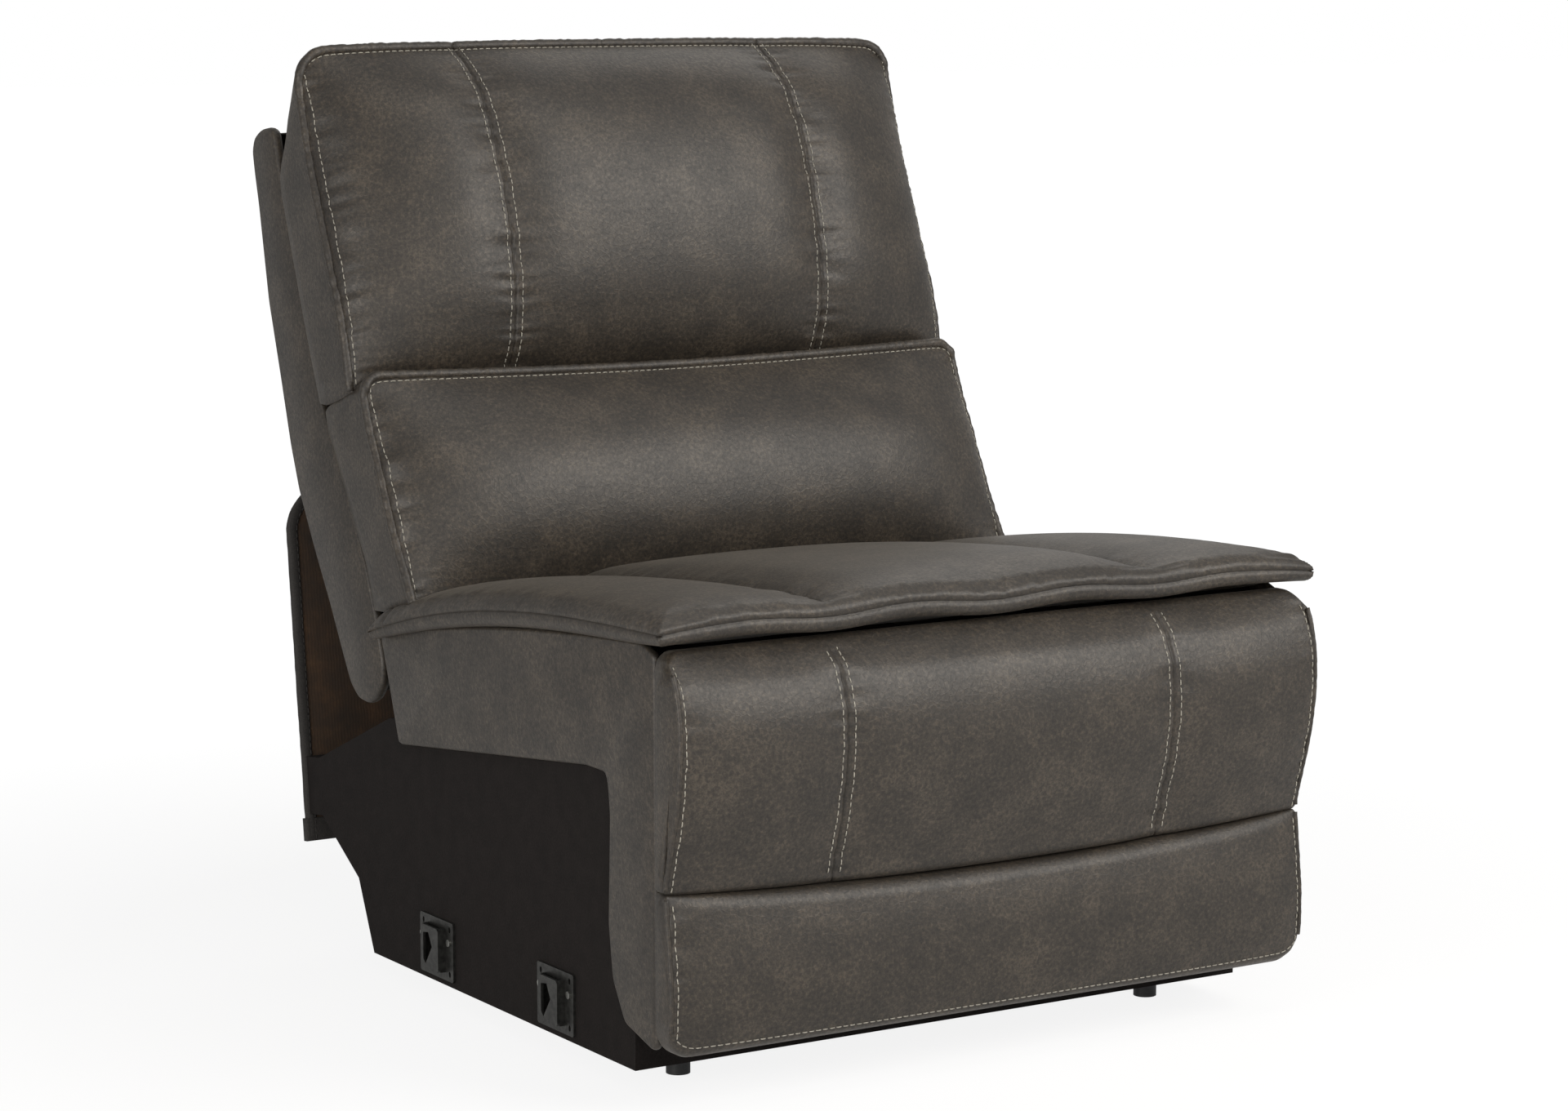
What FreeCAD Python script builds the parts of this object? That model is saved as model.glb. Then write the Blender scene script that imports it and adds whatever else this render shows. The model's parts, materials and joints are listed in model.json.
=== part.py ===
# Armless power recliner module of a sectional sofa, in millimetres.
# Seen from the front, X runs to the right, Y to the rear and Z up; left and right are as seen from there.
# The origin is on the floor under the middle.
import FreeCAD, Part
import os
import re
import Sketcher

SIZES = {
    # Overall frame
    "overall_depth": 970, "seat_width": 772, "back_overhang": 2, "cushion_width": 806,
    "seat_height": 412.6, "seat_pitch": 6.4, "soft_gap": 0.3, "running_gap": 1.5,
    # Base box
    "base_front": 354, "base_rear": 224, "base_tail": 350, "base_tail_low": 158, "base_tail_high": 223,
    "base_step": 260, "base_step_height": 103, "foot_height": 25, "foot_radius": 12.5, "foot_inset": 52,
    "foot_side": 80, "foot_block_width": 84, "foot_block_depth": 52, "foot_block_height": 40,
    "panel_thickness": 18, "base_top": 95, "base_top_rear": 190, "rail_thickness": 18,
    "front_rail_height": 70, "rear_rail_depth": 34, "cross_rail_depth": 40, "cross_rail_height": 40,
    "cross_rail_place": 130,
    # Rear flap
    "flap_width": 760, "flap_low": 124, "flap_high": 526, "flap_thickness": 6, "flap_lean": 6.4,
    "flap_corner": 55,
    # Sectional connectors
    "connector_width": 76, "connector_height": 65, "connector_thickness": 3, "connector_low": 32,
    "connector_front": 196, "connector_rear": 67, "connector_hole_radius": 3, "connector_hole_inset": 8,
    "pocket_width": 40, "pocket_height": 48, "pocket_depth": 9, "pocket_wall": 3, "tongue_width": 26,
    "tongue_thickness": 4, "tongue_height": 40, "screw_radius": 3.9, "screw_head": 2.4, "screw_drop": 22,
    # Seat carriage
    "side_rail_thickness": 40, "seat_rail_height": 86, "front_rail_drop": 46, "seat_rail_front": 372,
    "seat_rail_rear": 160, "seat_cross_thickness": 24, "web_thickness": 2, "web_width": 55, "web_pitch": 105,
    "cover_thickness": 9, "band_depth": 121, "cover_rear": 180, "cover_slant": 28, "leg_rear": 318,
    "leg_front": 414, "leg_low": 57, "leg_heel": 38, "leg_heel_height": 66,
    # Seat cushion
    "cushion_front": 452, "cushion_rear": 176, "cushion_edge": 22, "cushion_crown": 56,
    "cushion_corner": 14, "channel_place": 200, "channel_width": 24,
    # Glide tracks and mechanism plates
    "track_length": 450, "track_front": 260, "track_height": 40, "track_depth": 19.5, "track_wall": 3,
    "track_drop": 140, "glide_length": 60, "glide_gap": 0.5, "glide_front": 60, "glide_rear": 110,
    "plate_thickness": 4, "plate_front": 345, "plate_mid": 40, "plate_rear": 175, "plate_low": 182,
    "plate_lobe": 31, "plate_foot": 28, "plate_top": 10,
    # Back hinge and frame
    "hinge_drop": 60.6, "back_lean": 21, "hinge_thickness": 6, "hinge_pin_radius": 6, "hinge_eye": 18,
    "hinge_gap": 1, "bracket_front": 60, "bracket_drop": 80, "bracket_top": 20, "post_front": 4,
    "post_depth": 36, "post_low": 40, "post_high": 530, "back_rail_height": 48, "back_rail_low": 50,
    "hinge_plate_high": 160, "back_web_first": 130, "back_web_pitch": 82,
    # Back shell
    "shell_length": 612, "shell_wall": 12, "shell_skin": 10, "shell_foot": 44, "lumbar_low": 95,
    "lumbar_high": 290, "shell_front": 3, "shell_belly": 88, "shell_belly_high": 235, "shell_top_depth": 54,
    # Back cushions
    "lumbar_top": 286, "lumbar_shoulder": 264, "lumbar_bottom": 34, "lumbar_rear": 66, "lumbar_depth": 121,
    "lumbar_flare": 24, "lumbar_crown": 45, "head_bottom": 291, "head_top": 658, "head_depth": 86,
    "head_flare": 26, "head_crown": 85, "head_back": 590, "head_back_set": 88,
    # Footrest panel
    "pad_rear": 418, "pad_rise": 32.4, "pad_seam": 218, "pad_low": 57, "pad_edge": 18, "pad_swell": 34,
    "lower_swell": 26, "lower_crown": 16, "seam_gap": 2, "seam_edge": 13, "board_thickness": 14.7,
    "board_inset": 18, "board_low": 64, "board_rise": 25.4,
    # Footrest scissor linkage
    "pivot_y": 322, "pivot_drop": 27.6, "link_length": 190, "link_width": 25, "link_thickness": 4,
    "link_gap": 2, "fold_angle": 80, "open_angle": 20, "pin_radius": 4, "pin_clearance": 0.05,
    "flip_turn": 86, "flip_width": 18, "window_rise": 13, "window_set": 4, "window_margin": 2,
    "slot_clearance": 0.3, "bracket_rim": 8,
    # Footrest and recline drives
    "tube_radius": 11, "tube_wall": 2, "lever_place": 50, "lever_thickness": 5, "lever_width": 30,
    "lever_drop": 70, "lever_clearance": 2, "drive_place": 80, "drive_rail_width": 24,
    "drive_rail_height": 20, "drive_rail_front": 372, "drive_block_width": 40, "drive_block_height": 36,
    "drive_block_length": 40, "drive_gap": 0.5, "drive_motor_front": 96, "drive_motor_low": 166,
    "drive_motor_width": 70, "cross_tube_place": 60, "cross_tube_drop": 165, "recline_rail_drop": 197,
    "recline_rail_front": 152, "recline_motor_front": 110, "recline_motor_length": 84,
    "recline_motor_height": 60, "recline_block_top": 158,
    # Control switch
    "switch_place": 170, "switch_drop": 62, "switch_length": 92, "switch_height": 38, "switch_thickness": 4,
    "key_length": 26, "key_height": 24, "key_thickness": 5, "key_gap": 0.6, "key_lift": 1.8, "key_pitch": 36,
}

# Places that several pieces share, worked out from the sizes
SHARED = {
    "cover_inner": "(seat_width / 2 - cover_thickness)",
    "base_half": "(cover_inner - running_gap)",
    "base_inner": "(base_half - panel_thickness)",
    "rail_inner": "(cover_inner - side_rail_thickness)",
    "post_inner": "(rail_inner + hinge_gap + hinge_thickness)",
    "rail_top": "(-web_thickness - soft_gap)",
    "rail_bottom": "(rail_top - seat_rail_height)",
    "back_width": "(seat_width + back_overhang)",
    "hinge_z": "(seat_height - hinge_drop)",
    "pivot_z": "(seat_height - pivot_drop)",
    "pad_top": "(seat_height + pad_rise)",
    "board_top": "(seat_height + board_rise)",
    "hinge_y": "(overall_depth / 2 - shell_top_depth * cos(back_lean) - shell_length * sin(back_lean))",
    "pad_crown": "(overall_depth / 2 - pad_rear - pad_swell)",
    "board_rear": "(pad_rear - soft_gap - board_thickness)",
    "link_run": "(link_length * cos(fold_angle))",
    "link_drop": "(link_length * sin(fold_angle))",
    "open_drop": "(link_length * sin(open_angle))",
    "toe_y": "(-pivot_y - 2 * link_run)",
    "flip_arm": "((link_drop ^ 2 - open_drop ^ 2) / (2 * (link_drop - open_drop * cos(flip_turn))))",
    "pivot_along": "(-pivot_y * cos(seat_pitch) - (pivot_z - seat_height) * sin(seat_pitch))",
    "pivot_above": "(-pivot_y * sin(seat_pitch) + (pivot_z - seat_height) * cos(seat_pitch))",
    "half_swing": "((fold_angle - open_angle) / 2)",
    "drive_along": "(pivot_along + lever_drop * tan(half_swing))",
    "drive_above": "(pivot_above - lever_drop)",
    "flap_y": "(base_tail + rear_rail_depth / cos(flap_lean) - (base_tail_low - flap_low) * tan(flap_lean))",
    "tail_top": "(base_tail + (base_tail_high - base_tail_low) * tan(flap_lean))",
}

doc = FreeCAD.newDocument("recliner")
sheet = doc.addObject("Spreadsheet::Sheet", "dims")
for row, (alias, size) in enumerate(SIZES.items(), 1):
    sheet.set(f"A{row}", alias)
    sheet.set(f"B{row}", str(size))
    sheet.setAlias(f"B{row}", alias)
doc.recompute()

UP = FreeCAD.Vector(0, 0, 1)
LEAN = FreeCAD.Vector(-1, 0, 0)
RISE = FreeCAD.Vector(1, 0, 0)
SIDES = {"left": -1, "right": 1}
# Shares of a cushion's crown: what a sewn channel takes away, and what is left at its top and bottom edges
CHANNEL_DIP = 0.15
TOP_ROLL = 0.3
LUMBAR_ROLL = 0.5
LUMBAR_LIFT = 0.2
HEAD_ROLL = 0.4
nodes = []


def bound(text):
    """The expression with each shared place written out and each size name pointed at its cell."""
    def point(match):
        word = match[0]
        return bound(SHARED[word]) if word in SHARED else "dims." + word if word in SIZES else word
    return re.sub(r"[a-z_]+", point, str(text))


def value(text):
    """The present number of an expression."""
    return float(sheet.evalExpression(bound(text)))


def tilted(along, above):
    """Y and Z of a point of the pitched seat: along runs rearward, above is square to the seat."""
    return (f"({along}) * cos(seat_pitch) + ({above}) * sin(seat_pitch)",
            f"seat_height - ({along}) * sin(seat_pitch) + ({above}) * cos(seat_pitch)")


def leaning(rear, up):
    """Y and Z of a point of the leaning back, measured from its hinge."""
    return (f"hinge_y + ({rear}) * cos(back_lean) + ({up}) * sin(back_lean)",
            f"hinge_z - ({rear}) * sin(back_lean) + ({up}) * cos(back_lean)")


def keep(piece, label):
    """Name a finished sub-part and put it on the list of nodes."""
    piece.Label = label
    nodes.append(piece)
    return piece


def place(piece, corner, turn=None, axis=LEAN):
    """Bind a piece's place, and its turn about the cross axis."""
    if turn is not None:
        piece.Placement = FreeCAD.Placement(FreeCAD.Vector(), FreeCAD.Rotation(axis, 1))
        piece.setExpression("Placement.Rotation.Angle", bound(turn))
    for name, text in zip("xyz", corner):
        piece.setExpression("Placement.Base." + name, bound(text))
    return piece


def block(name, spans, point=None, turn=None):
    """A box between bound limits across, along and above, in the frame that point and turn give."""
    piece = doc.addObject("Part::Box", name)
    for prop, (low, high) in zip(("Length", "Width", "Height"), spans):
        piece.setExpression(prop, bound(f"({high}) - ({low})"))
    across, along, above = (low for low, high in spans)
    return place(piece, (across, *(point(along, above) if point else (along, above))), turn)


def seat_block(name, *spans):
    """A box that lies along the pitched seat."""
    return block(name, spans, tilted, "seat_pitch")


def back_block(name, *spans):
    """A box that lies along the leaning back."""
    return block(name, spans, leaning, "back_lean")


def both(half):
    """Limits alike on both sides of the middle."""
    return f"-({half})", half


def about(middle, length):
    """Limits of a length about its middle."""
    return f"({middle}) - ({length}) / 2", f"({middle}) + ({length}) / 2"


def sided(side, inner, outer):
    """Limits across X on one side."""
    return (f"-({outer})", f"-({inner})") if SIDES[side] < 0 else (inner, outer)


def cross_rod(name, radius, ends, centre):
    """A round bar along X."""
    piece = doc.addObject("Part::Cylinder", name)
    piece.setExpression("Radius", bound(radius))
    piece.setExpression("Height", bound(f"({ends[1]}) - ({ends[0]})"))
    piece.Placement = FreeCAD.Placement(FreeCAD.Vector(), FreeCAD.Rotation(FreeCAD.Vector(0, 1, 0), 90))
    return place(piece, (ends[0], *centre))


def joined(kind, name, base, *tools):
    """The base cut by, or fused with, each tool in turn."""
    for count, tool in enumerate(tools):
        piece = doc.addObject(f"Part::{kind}", f"{name}_{kind.lower()}{count}")
        piece.Base = base
        piece.Tool = tool
        base = piece
    return base


def group(label, pieces):
    """Several alike solids kept as one node."""
    piece = doc.addObject("Part::Compound", label)
    piece.Links = pieces
    return keep(piece, label)


def new_sketch(body, name):
    """A sketch on the body's own YZ plane."""
    sketch = body.newObject("Sketcher::SketchObject", name)
    plane = next(f for f in body.Origin.OriginFeatures if f.Role == "YZ_Plane")
    sketch.AttachmentSupport = [(plane, "")]
    sketch.MapMode = "FlatFace"
    return sketch


def hold_point(sketch, geometry, which, point):
    """Hold a sketch point at two bound distances from the origin."""
    for kind, text in zip(("DistanceX", "DistanceY"), point):
        number = sketch.addConstraint(Sketcher.Constraint(kind, -1, 1, geometry, which, value(text)))
        sketch.setExpression(f"Constraints[{number}]", bound(text))


def draw_outline(sketch, corners):
    """A closed outline of straight edges through bound corners."""
    points = [FreeCAD.Vector(value(a), value(b), 0) for a, b in corners]
    count = len(points)
    for i, start in enumerate(points):
        sketch.addGeometry(Part.LineSegment(start, points[(i + 1) % count]))
    for i in range(count):
        sketch.addConstraint(Sketcher.Constraint("Coincident", i, 2, (i + 1) % count, 1))
    for i, corner in enumerate(corners):
        hold_point(sketch, i, 1, corner)


def hold_radius(sketch, geometry, radius):
    """Bind the radius of a circle or an arc."""
    number = sketch.addConstraint(Sketcher.Constraint("Radius", geometry, value(radius)))
    sketch.setExpression(f"Constraints[{number}]", bound(radius))


def draw_circle(sketch, centre, radius):
    """A round hole or pin at a bound centre."""
    middle = FreeCAD.Vector(value(centre[0]), value(centre[1]), 0)
    number = sketch.addGeometry(Part.Circle(middle, UP, value(radius)))
    hold_point(sketch, number, 3, centre)
    hold_radius(sketch, number, radius)


def draw_bar(sketch, length, width):
    """The outline of a flat bar with round ends, from the origin along the sketch's first axis."""
    far, radius = value(length), value(width) / 2
    near_end, far_end = FreeCAD.Vector(0, 0, 0), FreeCAD.Vector(far, 0, 0)
    down = FreeCAD.Vector(0, -radius, 0)
    sketch.addGeometry(Part.LineSegment(near_end + down, far_end + down))
    sketch.addGeometry(Part.Arc(far_end + down, FreeCAD.Vector(far + radius, 0, 0), far_end - down))
    sketch.addGeometry(Part.LineSegment(far_end - down, near_end - down))
    sketch.addGeometry(Part.Arc(near_end - down, FreeCAD.Vector(-radius, 0, 0), near_end + down))
    for first, second in ((0, 1), (1, 2), (2, 3), (3, 0)):
        sketch.addConstraint(Sketcher.Constraint("Tangent", first, 2, second, 1))
    hold_point(sketch, 3, 3, ("0", "0"))
    hold_point(sketch, 1, 3, (length, "0"))
    hold_radius(sketch, 3, f"({width}) / 2")


def pad(body, sketch, length, back):
    """Raise a sketch by a bound length, along +X or back along -X."""
    feature = body.newObject("PartDesign::Pad", sketch.Name + "_pad")
    feature.Profile = sketch
    feature.setExpression("Length", bound(length))
    feature.Reversed = back


def plate(name, corners, thickness, back=False, holes=()):
    """A flat piece: an outline with round holes, raised by its thickness."""
    body = doc.addObject("PartDesign::Body", name)
    sketch = new_sketch(body, name + "_outline")
    draw_outline(sketch, corners)
    for centre, radius in holes:
        draw_circle(sketch, centre, radius)
    pad(body, sketch, thickness, back)
    return body


def add_pin(body, name, centre, radius, length, back):
    """A round pin that stands on a flat piece."""
    sketch = new_sketch(body, name)
    draw_circle(sketch, centre, radius)
    pad(body, sketch, length, back)


def layer(number):
    """Distance from the middle to the outer face of a layer of links."""
    return f"(rail_inner - plate_thickness - link_gap - {number - 1} * (link_thickness + link_gap))"


def reach(layers):
    """Length of a pin through a number of link layers, the first one its own."""
    return f"({layers} * link_thickness + {layers - 1} * link_gap)"


def link(label, side, level, start, axis, turn, length, width, holes=(), inward=(), outward=()):
    """One flat bar of the linkage, with its holes and the pins that it carries."""
    body = doc.addObject("PartDesign::Body", label)
    sketch = new_sketch(body, label + "_outline")
    draw_bar(sketch, length, width)
    for along in holes:
        draw_circle(sketch, (along, "0"), "pin_radius + pin_clearance")
    back = SIDES[side] > 0
    pad(body, sketch, "link_thickness", back)
    for along, depth in inward:
        add_pin(body, f"{label}_pin_in", (along, "0"), "pin_radius", depth, back)
    for along, depth in outward:
        add_pin(body, f"{label}_pin_out", (along, "0"), "pin_radius", depth, not back)
    return place(keep(body, label), (f"{SIDES[side]} * {layer(level)}", *start), turn, axis)


def soft_form(label, sections, placement):
    """A soft solid lofted straight from section to section."""
    piece = doc.addObject("Part::Feature", label)
    piece.Shape = Part.makeLoft(sections, True, True)
    piece.Placement = placement
    return keep(piece, label)


def section(x, corners, arcs):
    """A closed section at x; arcs gives the middle point of each edge that swells."""
    points = [FreeCAD.Vector(x, *corner) for corner in corners]
    edges = []
    for i, start in enumerate(points):
        end = points[(i + 1) % len(points)]
        if i in arcs:
            edges.append(Part.Arc(start, FreeCAD.Vector(x, *arcs[i]), end).toShape())
        else:
            edges.append(Part.LineSegment(start, end).toShape())
    return Part.Wire(edges)


def stations(width):
    """Section places across a soft panel, close together at its two sewn channels."""
    half = value(width) / 2
    channel = value("channel_place")
    lip = value("channel_width") / 2
    places = [0, channel - lip, channel, channel + lip, (channel + half) / 2, half - lip, half]
    return [-x for x in reversed(places[1:])] + places


def fullness(x, width):
    """How far a panel stands out at x: full in the middle, drawn in at the channels and the ends."""
    swell = (1 - (2 * x / value(width)) ** 4) ** 0.5
    sewn = abs(abs(x) - value("channel_place")) < 1e-6
    return swell - CHANNEL_DIP if sewn else swell


def frame_at(turn, y, z):
    """Placement of a piece drawn in the leaning frame of the seat or the back."""
    return FreeCAD.Placement(FreeCAD.Vector(0, y, z), FreeCAD.Rotation(LEAN, turn))


def base_panel(side):
    """Plywood side of the base, cut away behind for the sloping rear."""
    corners = [("-base_front", "foot_height"), ("base_rear", "foot_height"),
               ("base_step", "base_step_height"), ("base_tail", "base_tail_low"),
               ("tail_top", "base_tail_high"), tilted("base_top_rear", "-base_top"),
               tilted("-base_front", "-base_top")]
    body = plate(f"base_panel_{side}", corners, "panel_thickness", SIDES[side] > 0)
    place(keep(body, f"base_panel_{side}"), (f"{SIDES[side]} * base_half", "0", "0"))


def base_rails():
    """Front, rear and cross rails of the base, the rear one leaning with the flap."""
    low = "foot_height"
    keep(block("base_front_rail", (both("base_inner"), ("-base_front", "-base_front + rail_thickness"),
                                   (low, f"{low} + front_rail_height"))), "base_front_rail")
    rear = block("base_rear_rail", (both("base_half"), ("base_tail", "base_tail + rear_rail_depth"),
                                    ("base_tail_low", "base_tail_low + (base_tail_high - base_tail_low)"
                                     " / cos(flap_lean)")), turn="flap_lean")
    keep(rear, "base_rear_rail")
    deck = "-recline_rail_drop - recline_motor_height / 2"
    keep(seat_block("base_cross_rail", both("base_inner"),
                    ("cross_rail_place", "cross_rail_place + cross_rail_depth"),
                    (f"{deck} - cross_rail_height", deck)), "base_cross_rail")


def feet():
    """Four small round glides, each under a timber block in a corner of the base."""
    glides, blocks = [], []
    front, height = "-base_front + rail_thickness", ("foot_height", "foot_height + foot_block_height")
    rear = "base_rear - foot_inset - foot_block_depth / 2"
    for side, sign in SIDES.items():
        across = sided(side, "base_inner - foot_block_width", "base_inner")
        for y, near in (("-base_front + foot_inset", front), ("base_rear - foot_inset", rear)):
            blocks.append(block("foot_block", (across, (near, f"{near} + foot_block_depth"), height)))
            foot = doc.addObject("Part::Cylinder", "foot")
            foot.setExpression("Radius", bound("foot_radius"))
            foot.setExpression("Height", bound("foot_height"))
            glides.append(place(foot, (f"{sign} * (base_half - foot_side)", y, "0")))
    group("base_foot_blocks", blocks)
    group("base_feet", glides)


def rear_flap():
    """Stiff board that closes the rear of the base and stands behind the back."""
    lean = "flap_lean"
    board = block("flap_board", (both("flap_width / 2"), ("flap_y", "flap_y + flap_thickness"),
                                 ("flap_low", f"flap_low + (flap_high - flap_low) / cos({lean})")), turn=lean)
    doc.recompute()
    top = max(v.Z for v in board.Shape.Vertexes) - value("flap_thickness")
    upright = [i for i, edge in enumerate(board.Shape.Edges, 1)
               if abs(edge.Length - value("flap_thickness")) < 1e-6 and edge.CenterOfMass.z > top]
    piece = doc.addObject("Part::Fillet", "rear_flap")
    piece.Base = board
    piece.Edges = [(i, value("flap_corner"), value("flap_corner")) for i in upright]
    keep(piece, "rear_flap")


def connector(side, name, middle):
    """Steel plate on the base: a pocket on the left, a tongue for the next module's pocket on the right."""
    low, high = "connector_low", "connector_low + connector_height"
    left, right = about(middle, "connector_width")
    inset = "connector_hole_inset"
    holes = [((f"{y}", f"{z}"), "connector_hole_radius")
             for y in (f"{left} + {inset}", f"{right} - {inset}")
             for z in (f"{low} + {inset}", f"{high} - {inset}")]
    corners = [(left, low), (right, low), (right, high), (left, high)]
    outer = place(plate(name, corners, "connector_thickness", SIDES[side] < 0, holes),
                  (f"{SIDES[side]} * base_half", "0", "0"))
    face = "base_half + connector_thickness"
    middle_z = f"{low} + connector_height / 2"
    if side == "left":
        shell = block(name + "_pocket", (sided(side, face, f"{face} + pocket_depth"),
                                         about(middle, "pocket_width"), about(middle_z, "pocket_height")))
        inside = (f"{middle_z} - pocket_height / 2 + pocket_wall", f"{middle_z} + pocket_height")
        room = block(name + "_room", (sided(side, face, f"{face} + pocket_depth - pocket_wall"),
                                      about(middle, "pocket_width - 2 * pocket_wall"), inside))
        return joined("Fuse", name, outer, joined("Cut", name, shell, room))
    depth = f"{face} + pocket_depth - pocket_wall - running_gap"
    foot = block(name + "_foot", (sided(side, face, depth), about(middle, "tongue_width"),
                                  (f"{high} - tongue_height / 2", f"{high} - connector_hole_inset")))
    blade = block(name + "_blade", (sided(side, f"{depth} - tongue_thickness", depth),
                                    about(middle, "tongue_width"),
                                    (f"{high} - tongue_height - connector_hole_inset",
                                     f"{high} - tongue_height / 2")))
    return joined("Fuse", name, outer, foot, blade)


def connectors():
    """Two connectors and their pan-head screws on each side."""
    screws = []
    middles = {"front": "-connector_front", "rear": "connector_rear"}
    for side in SIDES:
        plates = [connector(side, f"connector_{side}_{end}", middle) for end, middle in middles.items()]
        group(f"connectors_{side}", plates)
        face = "base_half + connector_thickness"
        ends = sided(side, face, f"{face} + screw_head")
        for middle in middles.values():
            for y in about(middle, "connector_width - 2 * connector_hole_inset"):
                height = "connector_low + connector_height - screw_drop"
                screws.append(cross_rod("screw", "screw_radius", ends, (y, height)))
    group("connector_screws", screws)


def tracks(side):
    """Steel channel in which the seat glides."""
    outer = sided(side, "base_inner - track_depth", "base_inner")
    inner = sided(side, "base_inner - track_depth - running_gap", "base_inner - track_wall")
    span = ("-track_front", "-track_front + track_length")
    bar = seat_block("track_bar", outer, span, about("-track_drop", "track_height"))
    room = seat_block("track_room", inner, (f"{span[0]} - running_gap", f"{span[1]} + running_gap"),
                      about("-track_drop", "track_height - 2 * track_wall"))
    keep(joined("Cut", f"track_{side}", bar, room), f"track_{side}")


def seat_frame():
    """Wooden seat frame with its webbing."""
    span = ("-seat_rail_front", "seat_rail_rear")
    for side in SIDES:
        keep(seat_block(f"seat_rail_{side}", sided(side, "rail_inner", "cover_inner"), span,
                        ("rail_bottom", "rail_top")), f"seat_rail_{side}")
    keep(seat_block("seat_rail_front", both("rail_inner"),
                    ("-seat_rail_front", "-seat_rail_front + seat_cross_thickness"),
                    ("-front_rail_drop", "rail_top")), "seat_rail_front")
    keep(seat_block("seat_rail_rear", both("rail_inner - hinge_thickness"),
                    ("seat_rail_rear - seat_cross_thickness", "seat_rail_rear"),
                    ("rail_bottom", "rail_top")), "seat_rail_rear")
    straps = [seat_block("seat_strap", about(f"{step} * web_pitch", "web_width"), span,
                         ("rail_top", "-soft_gap")) for step in (-2.5, -1.5, -0.5, 0.5, 1.5, 2.5)]
    group("seat_webbing", straps)


def side_cover(side):
    """Upholstered board on the seat's side, with the leg that hides the front of the base."""
    corners = [tilted("cover_rear", "-soft_gap"), tilted("cover_rear - cover_slant", "-band_depth"),
               tilted("-leg_rear + band_depth * sin(seat_pitch)", "-band_depth"),
               ("-leg_rear", "leg_heel_height + leg_heel"), ("-leg_rear - leg_heel", "leg_heel_height"),
               ("-leg_front", "leg_low"), tilted("-leg_front", "-soft_gap")]
    body = plate(f"side_cover_{side}", corners, "cover_thickness", SIDES[side] > 0)
    place(keep(body, f"side_cover_{side}"), (f"{SIDES[side]} * seat_width / 2", "0", "0"))


def seat_plate(side):
    """Steel side plate of the mechanism, with the slot of the scissor's lower pin."""
    low = "pivot_z - link_drop - plate_foot"
    corners = [tilted("-plate_front", "-plate_top"), tilted("plate_mid", "-plate_top"),
               tilted("plate_mid", "-base_top"), tilted("plate_rear", "-base_top"),
               tilted("plate_rear", "-plate_low"), tilted("-pivot_y + 2 * plate_lobe", "-plate_low"),
               ("-pivot_y + plate_lobe", low), ("-pivot_y - plate_lobe", low)]
    back = SIDES[side] > 0
    body = plate(f"plate_bar_{side}", corners, "plate_thickness", back)
    add_pin(body, "main_pin", ("-pivot_y", "pivot_z"), "pin_radius",
            "plate_thickness + link_gap + link_thickness", back)
    place(body, (f"{SIDES[side]} * rail_inner", "0", "0"))
    room = "(pin_radius + slot_clearance)"
    slot = block("plate_slot", (sided(side, "rail_inner - plate_thickness", "rail_inner"),
                                about("-pivot_y", f"2 * {room}"),
                                (f"pivot_z - link_drop - {room}", f"pivot_z - open_drop + {room}")))
    keep(joined("Cut", f"seat_plate_{side}", body, slot), f"seat_plate_{side}")


def glide_blocks():
    """Nylon blocks on the mechanism plates that run in the tracks."""
    blocks = []
    for side in SIDES:
        across = sided(side, "rail_inner", "base_inner - track_wall - glide_gap")
        for start in ("-glide_front", "glide_rear"):
            blocks.append(seat_block("glide", across, (start, f"{start} + glide_length"),
                                     about("-track_drop", "track_height - 2 * (track_wall + glide_gap)")))
    group("glide_blocks", blocks)


def hinge_brackets():
    """Seat brackets that carry the back's hinge pins."""
    brackets = []
    eye = "hinge_eye"
    corner = f"{eye} * cos(45)"
    corners = [tilted("bracket_front", "-bracket_drop"), tilted("bracket_front", "-bracket_top"),
               ("hinge_y", f"hinge_z + {eye}"), (f"hinge_y + {corner}", f"hinge_z + {corner}"),
               (f"hinge_y + {eye}", "hinge_z"), (f"hinge_y + {corner}", f"hinge_z - {corner}"),
               ("hinge_y", f"hinge_z - {eye}"), tilted("seat_rail_rear", "-bracket_drop")]
    for sign in SIDES.values():
        body = plate("hinge_bracket", corners, "hinge_thickness", sign > 0)
        add_pin(body, "hinge_pin", ("hinge_y", "hinge_z"), "hinge_pin_radius",
                "hinge_gap + hinge_thickness", sign < 0)
        brackets.append(place(body, (f"{sign} * rail_inner", "0", "0")))
    group("hinge_brackets", brackets)


def seat_cushion():
    """Pillow-top cushion: crowned, with two sewn channels and drawn-in ends."""
    front, rear = value("cushion_front"), value("cushion_rear")
    edge, crown, corner = value("cushion_edge"), value("cushion_crown"), value("cushion_corner")
    lip = corner / 2
    sections = []
    for x in stations("cushion_width"):
        full = fullness(x, "cushion_width")
        nose = -front + corner * (1 - full)
        tail = rear - lip * (1 - full)
        top = edge + lip + (crown - edge - lip) * full
        corners = [(tail, 0), (nose, 0), (nose, edge), (tail, edge)]
        arcs = {1: (nose - lip, edge / 2), 2: ((nose + tail) / 2, top)}
        sections.append(section(x, corners, arcs))
    soft_form("seat_cushion", sections, frame_at(value("seat_pitch"), 0, value("seat_height")))


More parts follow.
